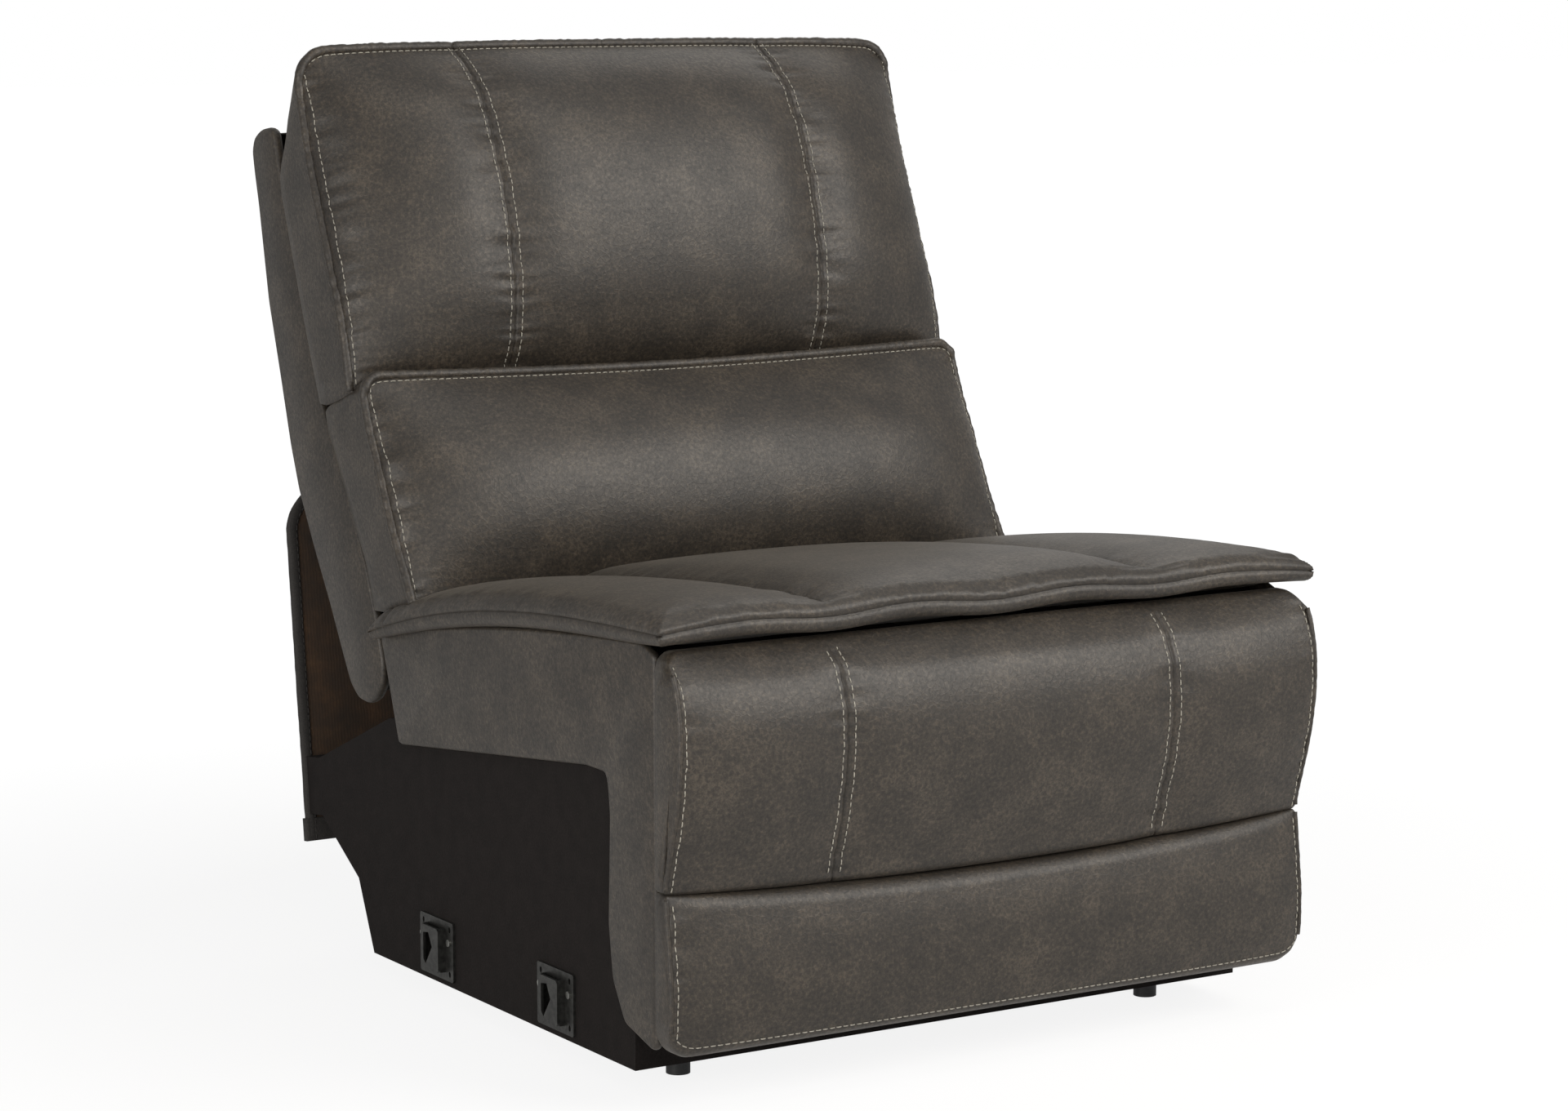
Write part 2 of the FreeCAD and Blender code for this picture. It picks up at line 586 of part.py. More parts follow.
def back_frame():
    """Posts, rails, webbing and hinge plates of the back."""
    depth = ("post_front", "post_front + post_depth")
    outer = "back_width / 2 - shell_wall"
    for side in SIDES:
        keep(back_block(f"back_post_{side}", sided(side, "post_inner", outer), depth,
                        ("post_low", "post_high")), f"back_post_{side}")
    keep(back_block("back_rail_top", both("post_inner"), depth,
                    ("post_high - back_rail_height", "post_high")), "back_rail_top")
    keep(back_block("back_rail_bottom", both("post_inner - hinge_thickness"), depth,
                    ("back_rail_low", "back_rail_low + back_rail_height")), "back_rail_bottom")
    straps = [back_block("back_strap", both(outer), ("post_front - web_thickness", "post_front"),
                         (f"back_web_first + {step} * back_web_pitch",
                          f"back_web_first + {step} * back_web_pitch + web_width")) for step in range(5)]
    group("back_webbing", straps)
    eye = "hinge_eye"
    corner = f"{eye} * cos(45)"
    rear = "post_front + post_depth"
    corners = [(f"-{corner}", corner), (f"-{eye}", "0"), (f"-{corner}", f"-{corner}"), ("0", f"-{eye}"),
               (corner, f"-{corner}"), (rear, "post_low"), (rear, "hinge_plate_high"),
               ("post_front", "hinge_plate_high"), ("post_front", "post_low")]
    plates = []
    for sign in SIDES.values():
        body = plate("hinge_plate", corners, "hinge_thickness", sign > 0,
                     [(("0", "0"), "hinge_pin_radius + pin_clearance")])
        plates.append(place(body, (f"{sign} * post_inner", "hinge_y", "hinge_z"), "back_lean"))
    group("back_hinge_plates", plates)


def back_shell():
    """Outer back: two cheeks and a rear skin, open to the front, round at its foot."""
    half, inner = "back_width / 2", "back_width / 2 - shell_wall"
    hinge = ("hinge_y", "hinge_z")
    outline = [("-shell_foot", "0"), ("-shell_foot", "lumbar_low"), ("-shell_front", "lumbar_high"),
               ("-shell_front", "shell_length"), ("shell_top_depth", "shell_length"),
               ("shell_belly", "shell_belly_high"), ("shell_foot", "0")]
    skin = "shell_skin"
    past = "-2 * shell_foot"
    hollow = [(past, past), ("shell_foot / 2", past), ("shell_foot / 2", "0"), (f"shell_foot - {skin}", "0"),
              (f"shell_belly - {skin}", "shell_belly_high"),
              (f"shell_top_depth - {skin}", f"shell_length - {skin}"), (past, f"shell_length - {skin}")]
    outer = place(plate("shell_outer", outline, "back_width"), (f"-{half}", *hinge), "back_lean")
    solid = joined("Fuse", "shell_outer", outer, cross_rod("shell_round", "shell_foot", both(half), hinge))
    room = place(plate("shell_room", hollow, f"2 * ({inner})"), (f"-({inner})", *hinge), "back_lean")
    bore = cross_rod("shell_bore", f"shell_foot - {skin}", both(inner), hinge)
    keep(joined("Cut", "back_shell", solid, room, bore), "back_shell")


def back_cushions():
    """Head and lumbar cushions on the front of the back, each crowned towards the sitter."""
    placement = frame_at(value("back_lean"), value("hinge_y"), value("hinge_z"))
    gap = value("soft_gap")
    seat_side, shell_front = -value("shell_foot") - gap, -value("shell_front") - gap
    low, high = value("lumbar_low"), value("lumbar_high")
    shoulder, bottom, top = value("lumbar_shoulder"), value("lumbar_bottom"), value("lumbar_top")
    depth, flare, crown = value("lumbar_depth"), value("lumbar_flare"), value("lumbar_crown")
    upper = seat_side + (shell_front - seat_side) * (shoulder - low) / (high - low)
    sections = []
    for x in stations("back_width"):
        full = fullness(x, "back_width")
        corners = [(seat_side, value("lumbar_rear")), (seat_side, low), (upper, shoulder),
                   (-depth - TOP_ROLL * crown * full, top),
                   (-depth - flare - LUMBAR_ROLL * crown * full, bottom + LUMBAR_LIFT * crown * full)]
        arcs = {3: (-depth - gap - crown * full, (top + bottom) / 2)}
        sections.append(section(x, corners, arcs))
    soft_form("lumbar_cushion", sections, placement)
    depth, flare, crown = value("head_depth"), value("head_flare"), value("head_crown")
    bottom, top = value("head_bottom"), value("head_top")
    sections = []
    for x in stations("back_width"):
        full = fullness(x, "back_width")
        corners = [(shell_front, bottom), (shell_front, value("head_back")), (-value("head_back_set"), top),
                   (-depth - flare - TOP_ROLL * crown * full, top - flare / 3),
                   (-depth - HEAD_ROLL * crown * full, bottom)]
        arcs = {3: (-depth - flare / 3 - crown * full, (top + bottom) / 2)}
        sections.append(section(x, corners, arcs))
    soft_form("head_cushion", sections, placement)


def scissor_links(side):
    """The two crossing pairs of links that carry the footrest forward."""
    length, width = "link_length", "link_width"
    half = "link_length / 2"
    fold = "180 - fold_angle"
    elbow = ("-pivot_y - link_run", "pivot_z - link_drop")
    link(f"main_link_{side}", side, 1, ("-pivot_y", "pivot_z"), LEAN, fold, length, width, ["0"],
         [(half, reach(2)), (length, reach(2))])
    link(f"cross_link_{side}", side, 2, ("-pivot_y", "pivot_z - link_drop"), RISE, fold, length, width,
         [half], outward=[("0", "2 * link_gap + link_thickness + plate_thickness"),
                          (length, "link_gap + link_thickness")])
    link(f"toe_link_{side}", side, 2, elbow, RISE, fold, length, width, ["0"], [(length, reach(2))],
         [(half, "link_gap + link_thickness")])
    link(f"outer_link_{side}", side, 1, ("-pivot_y - link_run", "pivot_z"), LEAN, fold, length, width,
         ["0", half], [(length, reach(4))])
    link(f"flip_link_{side}", side, 4, ("toe_y", "pivot_z - link_drop"), RISE, "90", "link_drop - flip_arm",
         "flip_width", ["0"], outward=[("link_drop - flip_arm", "link_gap + link_thickness")])


def footrest_bracket(side):
    """Steel bracket on the footrest board, pinned to the toe link and turned by the flip link."""
    rear = "toe_y + window_set + pin_radius + window_margin + bracket_rim"
    low = "pivot_z - flip_arm - pin_radius - window_margin - bracket_rim"
    high = "pivot_z + link_width / 2"
    corners = [("-board_rear", low), (rear, low), (rear, high), ("-board_rear", high)]
    body = plate(f"footrest_bracket_{side}", corners, "link_thickness", SIDES[side] > 0,
                 [(("toe_y", "pivot_z"), "pin_radius + pin_clearance")])
    place(body, (f"{SIDES[side]} * {layer(3)}", "0", "0"))
    room = "(pin_radius + window_margin)"
    window = block("flip_window", (sided(side, f"{layer(3)} - link_thickness", layer(3)),
                                   (f"toe_y - {room}", f"toe_y + {room} + window_set"),
                                   (f"pivot_z - flip_arm - {room}",
                                    f"pivot_z - flip_arm + {room} + window_rise")))
    return joined("Cut", f"footrest_bracket_{side}", body, window)


def footrest_panel():
    """Board with an upper and a lower padded panel."""
    keep(block("footrest_board", (both("seat_width / 2 - board_inset"),
                                  ("-board_rear - board_thickness", "-board_rear"),
                                  ("board_low", "board_top"))), "footrest_board")
    back, edge, seam = -value("pad_rear"), value("pad_edge"), value("seam_edge")
    split, gap = value("pad_seam"), value("seam_gap") / 2
    flat = FreeCAD.Placement()
    panels = {"footrest_upper_pad": (value("pad_top"), split + gap, edge, seam, "pad_swell", "pad_crown"),
              "footrest_lower_pad": (split - gap, value("pad_low"), seam, edge, "lower_swell", "lower_crown")}
    for label, (top, low, top_edge, low_edge, swell, crown) in panels.items():
        sections = []
        for x in stations("seat_width"):
            full = fullness(x, "seat_width")
            corners = [(back, low), (back, top), (back - top_edge, top), (back - low_edge, low)]
            arcs = {2: (back - value(swell) - value(crown) * full, (top + low) / 2)}
            sections.append(section(x, corners, arcs))
        soft_form(label, sections, flat)


def torque_tube():
    """Tube that ties the two main links, with the lever that the drive pushes."""
    pivot = ("-pivot_y", "pivot_z")
    ends = both(f"{layer(1)} - link_thickness")
    tube = joined("Cut", "torque_tube", cross_rod("tube_outside", "tube_radius", ends, pivot),
                  cross_rod("tube_bore", "tube_radius - tube_wall", ends, pivot))
    keep(tube, "torque_tube")
    turn = "90 - half_swing + seat_pitch"
    room = "(pin_radius + lever_clearance)"
    length = f"lever_drop / cos(half_swing) + {room} + lever_width / 2 - lever_clearance"
    body = doc.addObject("PartDesign::Body", "lever_bar")
    sketch = new_sketch(body, "lever_outline")
    draw_bar(sketch, length, "lever_width")
    draw_circle(sketch, ("0", "0"), "tube_radius")
    pad(body, sketch, "lever_thickness", False)
    place(body, ("lever_place", *pivot), turn)
    slot = doc.addObject("Part::Box", "lever_slot")
    slot.setExpression("Length", bound("lever_thickness"))
    slot.setExpression("Width", bound(f"lever_drop / cos(half_swing) - lever_drop + 2 * {room}"))
    slot.setExpression("Height", bound(f"2 * {room}"))
    start = f"(lever_drop - {room})"
    place(slot, ("lever_place", f"-pivot_y + {start} * cos({turn}) - {room} * sin({turn})",
                 f"pivot_z - {start} * sin({turn}) - {room} * cos({turn})"), turn)
    keep(joined("Cut", "drive_lever", body, slot), "drive_lever")


def footrest_drive():
    """Motor and guide rail under the seat, with the slider that pushes the lever."""
    rail_height = about("drive_above", "drive_rail_height")
    keep(seat_block("footrest_drive_rail", about("drive_place", "drive_rail_width"),
                    ("-drive_rail_front", "drive_motor_front"), rail_height), "footrest_drive_rail")
    keep(seat_block("footrest_drive_motor", about("drive_place", "drive_motor_width"),
                    ("drive_motor_front", "seat_rail_rear"), ("-drive_motor_low", "rail_bottom")),
         "footrest_drive_motor")
    along = about("drive_along", "drive_block_length")
    shell = seat_block("drive_block", about("drive_place", "drive_block_width"), along,
                       about("drive_above", "drive_block_height"))
    room = seat_block("drive_room", about("drive_place", "drive_rail_width + 2 * drive_gap"), along,
                      about("drive_above", "drive_rail_height + 2 * drive_gap"))
    pin = cross_rod("drive_pin", "pin_radius",
                    ("lever_place - link_gap", "drive_place - drive_block_width / 2"),
                    tilted("drive_along", "drive_above"))
    keep(joined("Fuse", "drive_slider", joined("Cut", "drive_slider", shell, room), pin), "drive_slider")


def recline_drive():
    """Motor and guide rail on the base, with the block on the seat's cross tube that they draw along."""
    middle = "-drive_place"
    rail_height = about("-recline_rail_drop", "drive_rail_height")
    keep(seat_block("recline_drive_rail", about(middle, "drive_rail_width"),
                    ("-recline_rail_front", "recline_motor_front"), rail_height), "recline_drive_rail")
    keep(seat_block("recline_drive_motor", about(middle, "drive_motor_width"),
                    ("recline_motor_front", "recline_motor_front + recline_motor_length"),
                    about("-recline_rail_drop", "recline_motor_height")), "recline_drive_motor")
    axis = tilted("cross_tube_place", "-cross_tube_drop")
    keep(cross_rod("seat_cross_tube", "tube_radius", both("rail_inner - plate_thickness"), axis),
         "seat_cross_tube")
    along = about("cross_tube_place", "drive_block_length")
    shell = seat_block("recline_shell", about(middle, "drive_block_width"), along,
                       ("-recline_rail_drop - drive_block_height / 2", "-recline_block_top"))
    room = seat_block("recline_room", about(middle, "drive_rail_width + 2 * drive_gap"), along,
                      about("-recline_rail_drop", "drive_rail_height + 2 * drive_gap"))
    bore = cross_rod("recline_bore", "tube_radius + pin_clearance", both("rail_inner"), axis)
    keep(joined("Cut", "recline_drive_block", shell, room, bore), "recline_drive_block")


def control_switch():
    """Switch plate with two push keys on the sitter's left."""
    face = "seat_width / 2"
    board = seat_block("switch_board", (face, f"{face} + switch_thickness"),
                       about("-switch_place", "switch_length"), about("-switch_drop", "switch_height"))
    windows = []
    for count, middle in enumerate(about("-switch_place", "key_pitch")):
        windows.append(seat_block("key_window", (face, f"{face} + switch_thickness"),
                                  about(middle, "key_length + 2 * key_gap"),
                                  about("-switch_drop", "key_height + 2 * key_gap")))
        label = ("open_key", "close_key")[count]
        keep(seat_block(label, (f"{face} + key_lift", f"{face} + key_lift + key_thickness"),
                        about(middle, "key_length"), about("-switch_drop", "key_height")), label)
    keep(joined("Cut", "switch_plate", board, *windows), "switch_plate")


for name in SIDES:
    base_panel(name)
    tracks(name)
    side_cover(name)
    seat_plate(name)
    scissor_links(name)
base_rails()
feet()
rear_flap()
connectors()
seat_frame()
glide_blocks()
hinge_brackets()
seat_cushion()
back_frame()
back_shell()
back_cushions()
group("footrest_brackets", [footrest_bracket(name) for name in SIDES])
footrest_panel()
torque_tube()
footrest_drive()
recline_drive()
control_switch()
doc.recompute()

failed = [item.Label for item in doc.Objects if "Invalid" in item.State or "Error" in item.State]
failed += [item.Label for item in nodes if item.Shape.isNull() or not item.Shape.isValid()]
if failed:
    raise RuntimeError("failed pieces: " + ", ".join(failed))
os.makedirs("parts", exist_ok=True)
for item in nodes:
    item.Shape.exportStep(f"parts/{item.Label}.step")
print(len(nodes), "nodes")
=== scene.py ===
"""Armless power recliner module of a sectional sofa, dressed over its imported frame. Metres."""
import json
import math
import bmesh
import bpy
import numpy as np
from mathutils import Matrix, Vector, noise
from mathutils.geometry import tessellate_polygon


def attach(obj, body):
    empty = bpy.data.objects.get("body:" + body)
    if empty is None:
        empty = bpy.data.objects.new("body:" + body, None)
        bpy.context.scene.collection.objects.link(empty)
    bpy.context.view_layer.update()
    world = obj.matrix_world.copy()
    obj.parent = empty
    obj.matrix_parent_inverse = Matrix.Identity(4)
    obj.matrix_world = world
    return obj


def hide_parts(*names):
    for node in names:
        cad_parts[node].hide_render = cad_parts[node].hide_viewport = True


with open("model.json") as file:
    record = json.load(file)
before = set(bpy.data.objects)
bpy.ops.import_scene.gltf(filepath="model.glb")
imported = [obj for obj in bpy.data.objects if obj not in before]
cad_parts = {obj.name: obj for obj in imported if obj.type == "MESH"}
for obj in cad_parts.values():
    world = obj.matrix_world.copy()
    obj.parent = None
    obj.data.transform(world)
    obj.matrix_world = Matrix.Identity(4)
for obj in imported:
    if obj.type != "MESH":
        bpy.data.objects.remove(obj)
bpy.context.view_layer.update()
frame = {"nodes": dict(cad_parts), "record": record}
scene = bpy.context.scene

MM = 0.001
SEAT_HEIGHT, SEAT_PITCH = 412.6 * MM, math.radians(6.4)
BACK_HINGE, BACK_LEAN = (215.27 * MM, 352.0 * MM), math.radians(21)
FLAP_FOOT, FLAP_LEAN = (380.4 * MM, 124.0 * MM), math.radians(6.4)
SEAM_X = 200 * MM            # the sewn channels stand this far from the middle
STITCH_OFFSET = 7 * MM       # each stitch row lies this far from its seam
WELT_STITCH = 5.5 * MM       # the row inside a welt
# Reach and depth of the gathers along the seams
BACK_GATHERS, SEAT_GATHERS, PANEL_GATHERS = (24 * MM, 3.6 * MM), (24 * MM, 3.4 * MM), (20 * MM, 2.6 * MM)
CLOTH_MOMENTS, CLOTH_QUALITY, CLOTH_BENDING = 16, 3, 4      # length, care and stiffness of the swelling
EVEN_PASSES, EVEN_SHARE = 25, 0.6                           # how often and how far neighbours even out


# Materials
def linear(hex_colour):
    """An sRGB hex colour as linear RGBA."""
    parts = [int(hex_colour[i:i + 2], 16) / 255 for i in (1, 3, 5)]
    return [c / 12.92 if c <= 0.04045 else ((c + 0.055) / 1.055) ** 2.4 for c in parts] + [1.0]


def add(material, kind, inputs=None, **settings):
    """Adds one node with its settings; an input that is a socket is linked, any other is set."""
    tree = material.node_tree
    node = tree.nodes.new(kind)
    for name, value in settings.items():
        setattr(node, name, value)
    for name, value in (inputs or {}).items():
        if isinstance(value, bpy.types.NodeSocket):
            tree.links.new(value, node.inputs[name])
        else:
            node.inputs[name].default_value = value
    return node


def finish_material(name, shader_inputs, build):
    """A named material: build adds the pattern nodes and returns the shader inputs that they drive."""
    material = bpy.data.materials.new(name)
    material.use_nodes = True
    material.node_tree.nodes.clear()
    place = add(material, "ShaderNodeTexCoord").outputs["Object"]
    driven = build(material, place)
    shader = add(material, "ShaderNodeBsdfPrincipled", {**shader_inputs, **driven})
    add(material, "ShaderNodeOutputMaterial", {"Surface": shader.outputs["BSDF"]})
    return material


def ramp(material, factor, stops):
    """Settings of a colour ramp node: pairs of place and colour."""
    node = add(material, "ShaderNodeValToRGB", {"Fac": factor})
    while len(node.color_ramp.elements) < len(stops):
        node.color_ramp.elements.new(0.5)
    for element, (position, colour) in zip(node.color_ramp.elements, stops):
        element.position = position
        element.color = linear(colour)
    return node.outputs["Color"]


def microfibre(material, place):
    """Brushed nap: cloudy patches, a fine pale crackle where the nap is worn, and a soft pebbled grain."""
    cloud = add(material, "ShaderNodeTexNoise", {"Vector": place, "Scale": 1 / 0.05, "Detail": 4.0,
                                                 "Roughness": 0.5}).outputs["Fac"]
    speck = add(material, "ShaderNodeTexNoise", {"Vector": place, "Scale": 1 / 0.004, "Detail": 4.0,
                                                 "Roughness": 0.75}).outputs["Fac"]
    mixed = add(material, "ShaderNodeMix", {0: 0.78, 2: cloud, 3: speck}).outputs[0]
    # Fibres are too fine to show, so the specks are drawn 4 mm across
    nap = ramp(material, mixed, [(0.38, "#1a1612"), (0.465, "#26211b"), (0.54, "#302a23"), (0.63, "#443c32")])
    warp = add(material, "ShaderNodeMix", {0: 0.004, 4: place, 5: add(
        material, "ShaderNodeTexNoise", {"Vector": place, "Scale": 1 / 0.012}).outputs["Color"]},
        data_type="VECTOR", blend_type="MIX").outputs[1]
    crack = add(material, "ShaderNodeTexVoronoi", {"Vector": warp, "Scale": 1 / 0.0075, "Detail": 1.0},
                feature="DISTANCE_TO_EDGE").outputs["Distance"]
    line = add(material, "ShaderNodeMapRange", {"Value": crack, "From Min": 0.0, "From Max": 0.09,
                                                "To Min": 1.0, "To Max": 0.0}).outputs["Result"]
    worn = add(material, "ShaderNodeMapRange", {"Value": cloud, "From Min": 0.45, "From Max": 0.65,
                                                "To Max": 0.24}).outputs["Result"]
    pale = add(material, "ShaderNodeMath", {0: line, 1: worn}, operation="MULTIPLY").outputs[0]
    colour = add(material, "ShaderNodeMix", {0: pale, 6: nap, 7: linear("#564e44")},
                 data_type="RGBA").outputs[2]
    height = add(material, "ShaderNodeMix", {0: 0.6, 2: line, 3: speck}).outputs[0]
    bump = add(material, "ShaderNodeBump", {"Strength": 0.3, "Distance": 0.0008, "Height": height})
    rough = add(material, "ShaderNodeMapRange", {"Value": mixed, "From Min": 0.3, "From Max": 0.7,
                                                 "To Min": 0.56, "To Max": 0.44})
    return {"Base Color": colour, "Normal": bump.outputs["Normal"], "Roughness": rough.outputs["Result"]}


def spun_cloth(material, place):
    """Spun-bonded dust cloth: matt black with a faint pressed dot pattern."""
    dots = add(material, "ShaderNodeTexVoronoi", {"Vector": place, "Scale": 1 / 0.0022}).outputs["Distance"]
    cloud = add(material, "ShaderNodeTexNoise", {"Vector": place, "Scale": 1 / 0.02,
                                                 "Detail": 5.0}).outputs["Fac"]
    mixed = add(material, "ShaderNodeMix", {0: 0.4, 2: cloud, 3: dots}).outputs[0]
    colour = ramp(material, mixed, [(0.3, "#110e0d"), (0.7, "#1b1716")])
    bump = add(material, "ShaderNodeBump", {"Strength": 0.25, "Distance": 0.0004, "Height": dots})
    return {"Base Color": colour, "Normal": bump.outputs["Normal"]}


def knit_lining(material, place):
    """Brown brushed knit on the back of the cover cloth, with soft blotches."""
    cloud = add(material, "ShaderNodeTexNoise", {"Vector": place, "Scale": 1 / 0.03, "Detail": 7.0,
                                                 "Roughness": 0.7}).outputs["Fac"]
    rib = add(material, "ShaderNodeTexWave", {"Vector": place, "Scale": 1 / 0.012, "Distortion": 3.0},
              bands_direction="X").outputs["Fac"]
    colour = ramp(material, cloud, [(0.3, "#21170e"), (0.55, "#352414"), (0.75, "#4a331d")])
    bump = add(material, "ShaderNodeBump", {"Strength": 0.3, "Distance": 0.0006, "Height": rib})
    return {"Base Color": colour, "Normal": bump.outputs["Normal"]}


def coat_flecks(dark, light, size, depth):
    """A coat with a light orange-peel: the two ends of its colour, the peel's size and its depth."""
    def build(material, place):
        peel = add(material, "ShaderNodeTexNoise", {"Vector": place, "Scale": 1 / size,
                                                    "Detail": 4.0}).outputs["Fac"]
        colour = ramp(material, peel, [(0.35, dark), (0.65, light)])
        bump = add(material, "ShaderNodeBump", {"Strength": 0.2, "Distance": depth, "Height": peel})
        return {"Base Color": colour, "Normal": bump.outputs["Normal"]}
    return build


def sawn_grain(material, place):
    """Sawn softwood: stretched rings with a rough fibre."""
    stretch = add(material, "ShaderNodeMapping", {"Vector": place,
                                                  "Scale": (3.0, 30.0, 30.0)}).outputs["Vector"]
    rings = add(material, "ShaderNodeTexNoise", {"Vector": stretch, "Scale": 6.0, "Detail": 6.0,
                                                 "Distortion": 0.6}).outputs["Fac"]
    colour = ramp(material, rings, [(0.35, "#a9814f"), (0.5, "#c39a66"), (0.68, "#d3b07e")])
    bump = add(material, "ShaderNodeBump", {"Strength": 0.2, "Distance": 0.0005, "Height": rings})
    return {"Base Color": colour, "Normal": bump.outputs["Normal"]}


def woven_strap(material, place):
    """Woven elastic strap: ribs across its width, one thread every 2 mm."""
    rib = add(material, "ShaderNodeTexWave", {"Vector": place, "Scale": 1 / 0.0126, "Distortion": 0.4},
              bands_direction="Y").outputs["Fac"]
    colour = ramp(material, rib, [(0.2, "#26241f"), (0.8, "#4a473f")])
    bump = add(material, "ShaderNodeBump", {"Strength": 0.5, "Distance": 0.0006, "Height": rib})
    return {"Base Color": colour, "Normal": bump.outputs["Normal"]}


# Brushed microfibre: a suede look, with a low broad gloss on the crowns and paler worn lines
COVER_CLOTH = finish_material(
    "brushed_microfibre", {"IOR": 1.5, "Sheen Weight": 0.1, "Sheen Roughness": 0.4,
                           "Sheen Tint": linear("#b9b2a6")}, microfibre)
# Spun polyester: a pale matt thread that stands out from the cloth
THREAD = finish_material("polyester_thread", {"Roughness": 0.6, "IOR": 1.5},
                         coat_flecks("#7d7a71", "#a5a196", 0.002, 0.0002))
# Spun-bonded dust cloth over boards and rails: nearly black and quite matt. On the wrapped timber rails under
# the seat's lip, its black is partly painted shade.
DUST_CLOTH_AND_SHADE = finish_material("spun_dust_cloth_and_shade", {"Roughness": 0.92, "Specular IOR Level": 0.2}, spun_cloth)
# Brushed knit: a warm brown fuzz with no gloss
LINING = finish_material("brushed_knit_lining", {"Roughness": 0.95, "Sheen Weight": 0.2}, knit_lining)
# Woven tape: black, with the grain of its weave
HEM_TAPE = finish_material("woven_hem_tape", {"Roughness": 0.8},
                           coat_flecks("#1b1918", "#2b2826", 0.0016, 0.0005))
# Enamelled steel: black under a half gloss, with a faint orange peel
BLACK_ENAMEL = finish_material("black_enamelled_steel", {"Roughness": 0.4, "Specular IOR Level": 0.5},
                               coat_flecks("#141414", "#1f1f20", 0.004, 0.0002))
# Pressed and phosphated steel: dark grey, with a dull metal gleam on its faces
PRESSED_STEEL = finish_material("phosphated_pressed_steel", {"Metallic": 0.75, "Roughness": 0.42},
                                coat_flecks("#2f2f2e", "#434341", 0.006, 0.0002))
# Zinc plate: a bright cool grey
ZINC_STEEL = finish_material("zinc_plated_steel", {"Metallic": 1.0, "Roughness": 0.32},
                             coat_flecks("#8a8a86", "#a9a9a4", 0.003, 0.0001))
# Sawn softwood: pale, with long soft rings and a rough fibre
SOFTWOOD = finish_material("sawn_softwood", {"Roughness": 0.75}, sawn_grain)
# Elastic strap: dark ribs across its width
STRAP = finish_material("woven_elastic_strap", {"Roughness": 0.85}, woven_strap)
# Moulded ABS: black with a fine spark-eroded grain
MOULDED_ABS = finish_material("moulded_black_abs", {"Roughness": 0.5, "IOR": 1.52},
                              coat_flecks("#161617", "#1f1f21", 0.0016, 0.0002))

# The wrapped timber rails take the black dust cloth: a real cloth wrap, and dark partly as painted shade
# under the seat's lip
SLOT_FINISH = {"upholstery": COVER_CLOTH, "wrapped_timber": DUST_CLOTH_AND_SHADE, "base_cloth": DUST_CLOTH_AND_SHADE,
               "flap_board": LINING, "frame_timber": SOFTWOOD, "webbing": STRAP,
               "mechanism_steel": BLACK_ENAMEL, "connector_steel": PRESSED_STEEL,
               "screw_steel": ZINC_STEEL, "plastic": MOULDED_ABS}
for entry in frame["record"]["subparts"]:
    part_mesh = frame["nodes"][entry["node"]].data
    part_mesh.materials.clear()
    part_mesh.materials.append(SLOT_FINISH[entry["material_slot"]])


# Frames of the seat, the back and the flap
def on_seat(points):
    """Points (x, rearward along the seat, up from it) in the model's frame."""
    x, along, above = np.moveaxis(np.asarray(points, float), -1, 0)
    c, s = math.cos(SEAT_PITCH), math.sin(SEAT_PITCH)
    return np.stack([x, along * c + above * s, SEAT_HEIGHT - along * s + above * c], -1)


def on_back(points):
    """Points (x, rearward, up along the back from its hinge) in the model's frame."""
    x, rear, up = np.moveaxis(np.asarray(points, float), -1, 0)
    c, s = math.cos(BACK_LEAN), math.sin(BACK_LEAN)
    return np.stack([x, BACK_HINGE[0] + rear * c + up * s, BACK_HINGE[1] - rear * s + up * c], -1)


def on_flap(points):
    """Points (x, up along the flap, rearward from its front) in the model's frame."""
    x, up, rear = np.moveaxis(np.asarray(points, float), -1, 0)
    c, s = math.cos(FLAP_LEAN), math.sin(FLAP_LEAN)
    return np.stack([x, FLAP_FOOT[0] + up * s + rear * c, FLAP_FOOT[1] + up * c - rear * s], -1)


# Meshes
def new_piece(name, points, faces, finish, body):
    """A mesh piece that rides on a body."""
    mesh = bpy.data.meshes.new(name)
    mesh.from_pydata([tuple(p) for p in points], [], faces)
    mesh.validate()
    work = bmesh.new()
    work.from_mesh(mesh)
    bmesh.ops.recalc_face_normals(work, faces=work.faces)
    work.to_mesh(mesh)
    work.free()
    mesh.shade_smooth()
    mesh.materials.append(finish)
    piece = bpy.data.objects.new(name, mesh)
    scene.collection.objects.link(piece)
    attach(piece, body)
    return piece


def loft_faces(rows, columns, closed):
    """Quads between rows of points; closed joins each row's end to its start."""
    span = columns if closed else columns - 1
    return [(i * columns + j, i * columns + (j + 1) % columns,
             (i + 1) * columns + (j + 1) % columns, (i + 1) * columns + j)
            for i in range(rows - 1) for j in range(span)]


def capped_loft(loops, swell, rings=7):
    """Points and faces of closed loops set side by side, with softly swollen ends."""
    loops = np.asarray(loops)
    rows, columns, _ = loops.shape
    points = list(loops.reshape(-1, 3))
    faces = loft_faces(rows, columns, True)
    for first, outward in ((0, -1), (rows - 1, 1)):
        rim = loops[first]
        middle = rim.mean(0)
        last = [first * columns + j for j in range(columns)]
        for ring in range(1, rings):
            share = 1 - ring / rings
            lift = np.array([outward * swell * (1 - share ** 2), 0, 0])
            start = len(points)
            points.extend(middle + (rim - middle) * share + lift)
            new = list(range(start, start + columns))
            faces += [(last[j], last[(j + 1) % columns], new[(j + 1) % columns], new[j])
                      for j in range(columns)]
            last = new
        points.append(middle + np.array([outward * swell, 0, 0]))
        faces += [(last[j], last[(j + 1) % columns], len(points) - 1) for j in range(columns)]
    return np.array(points), faces


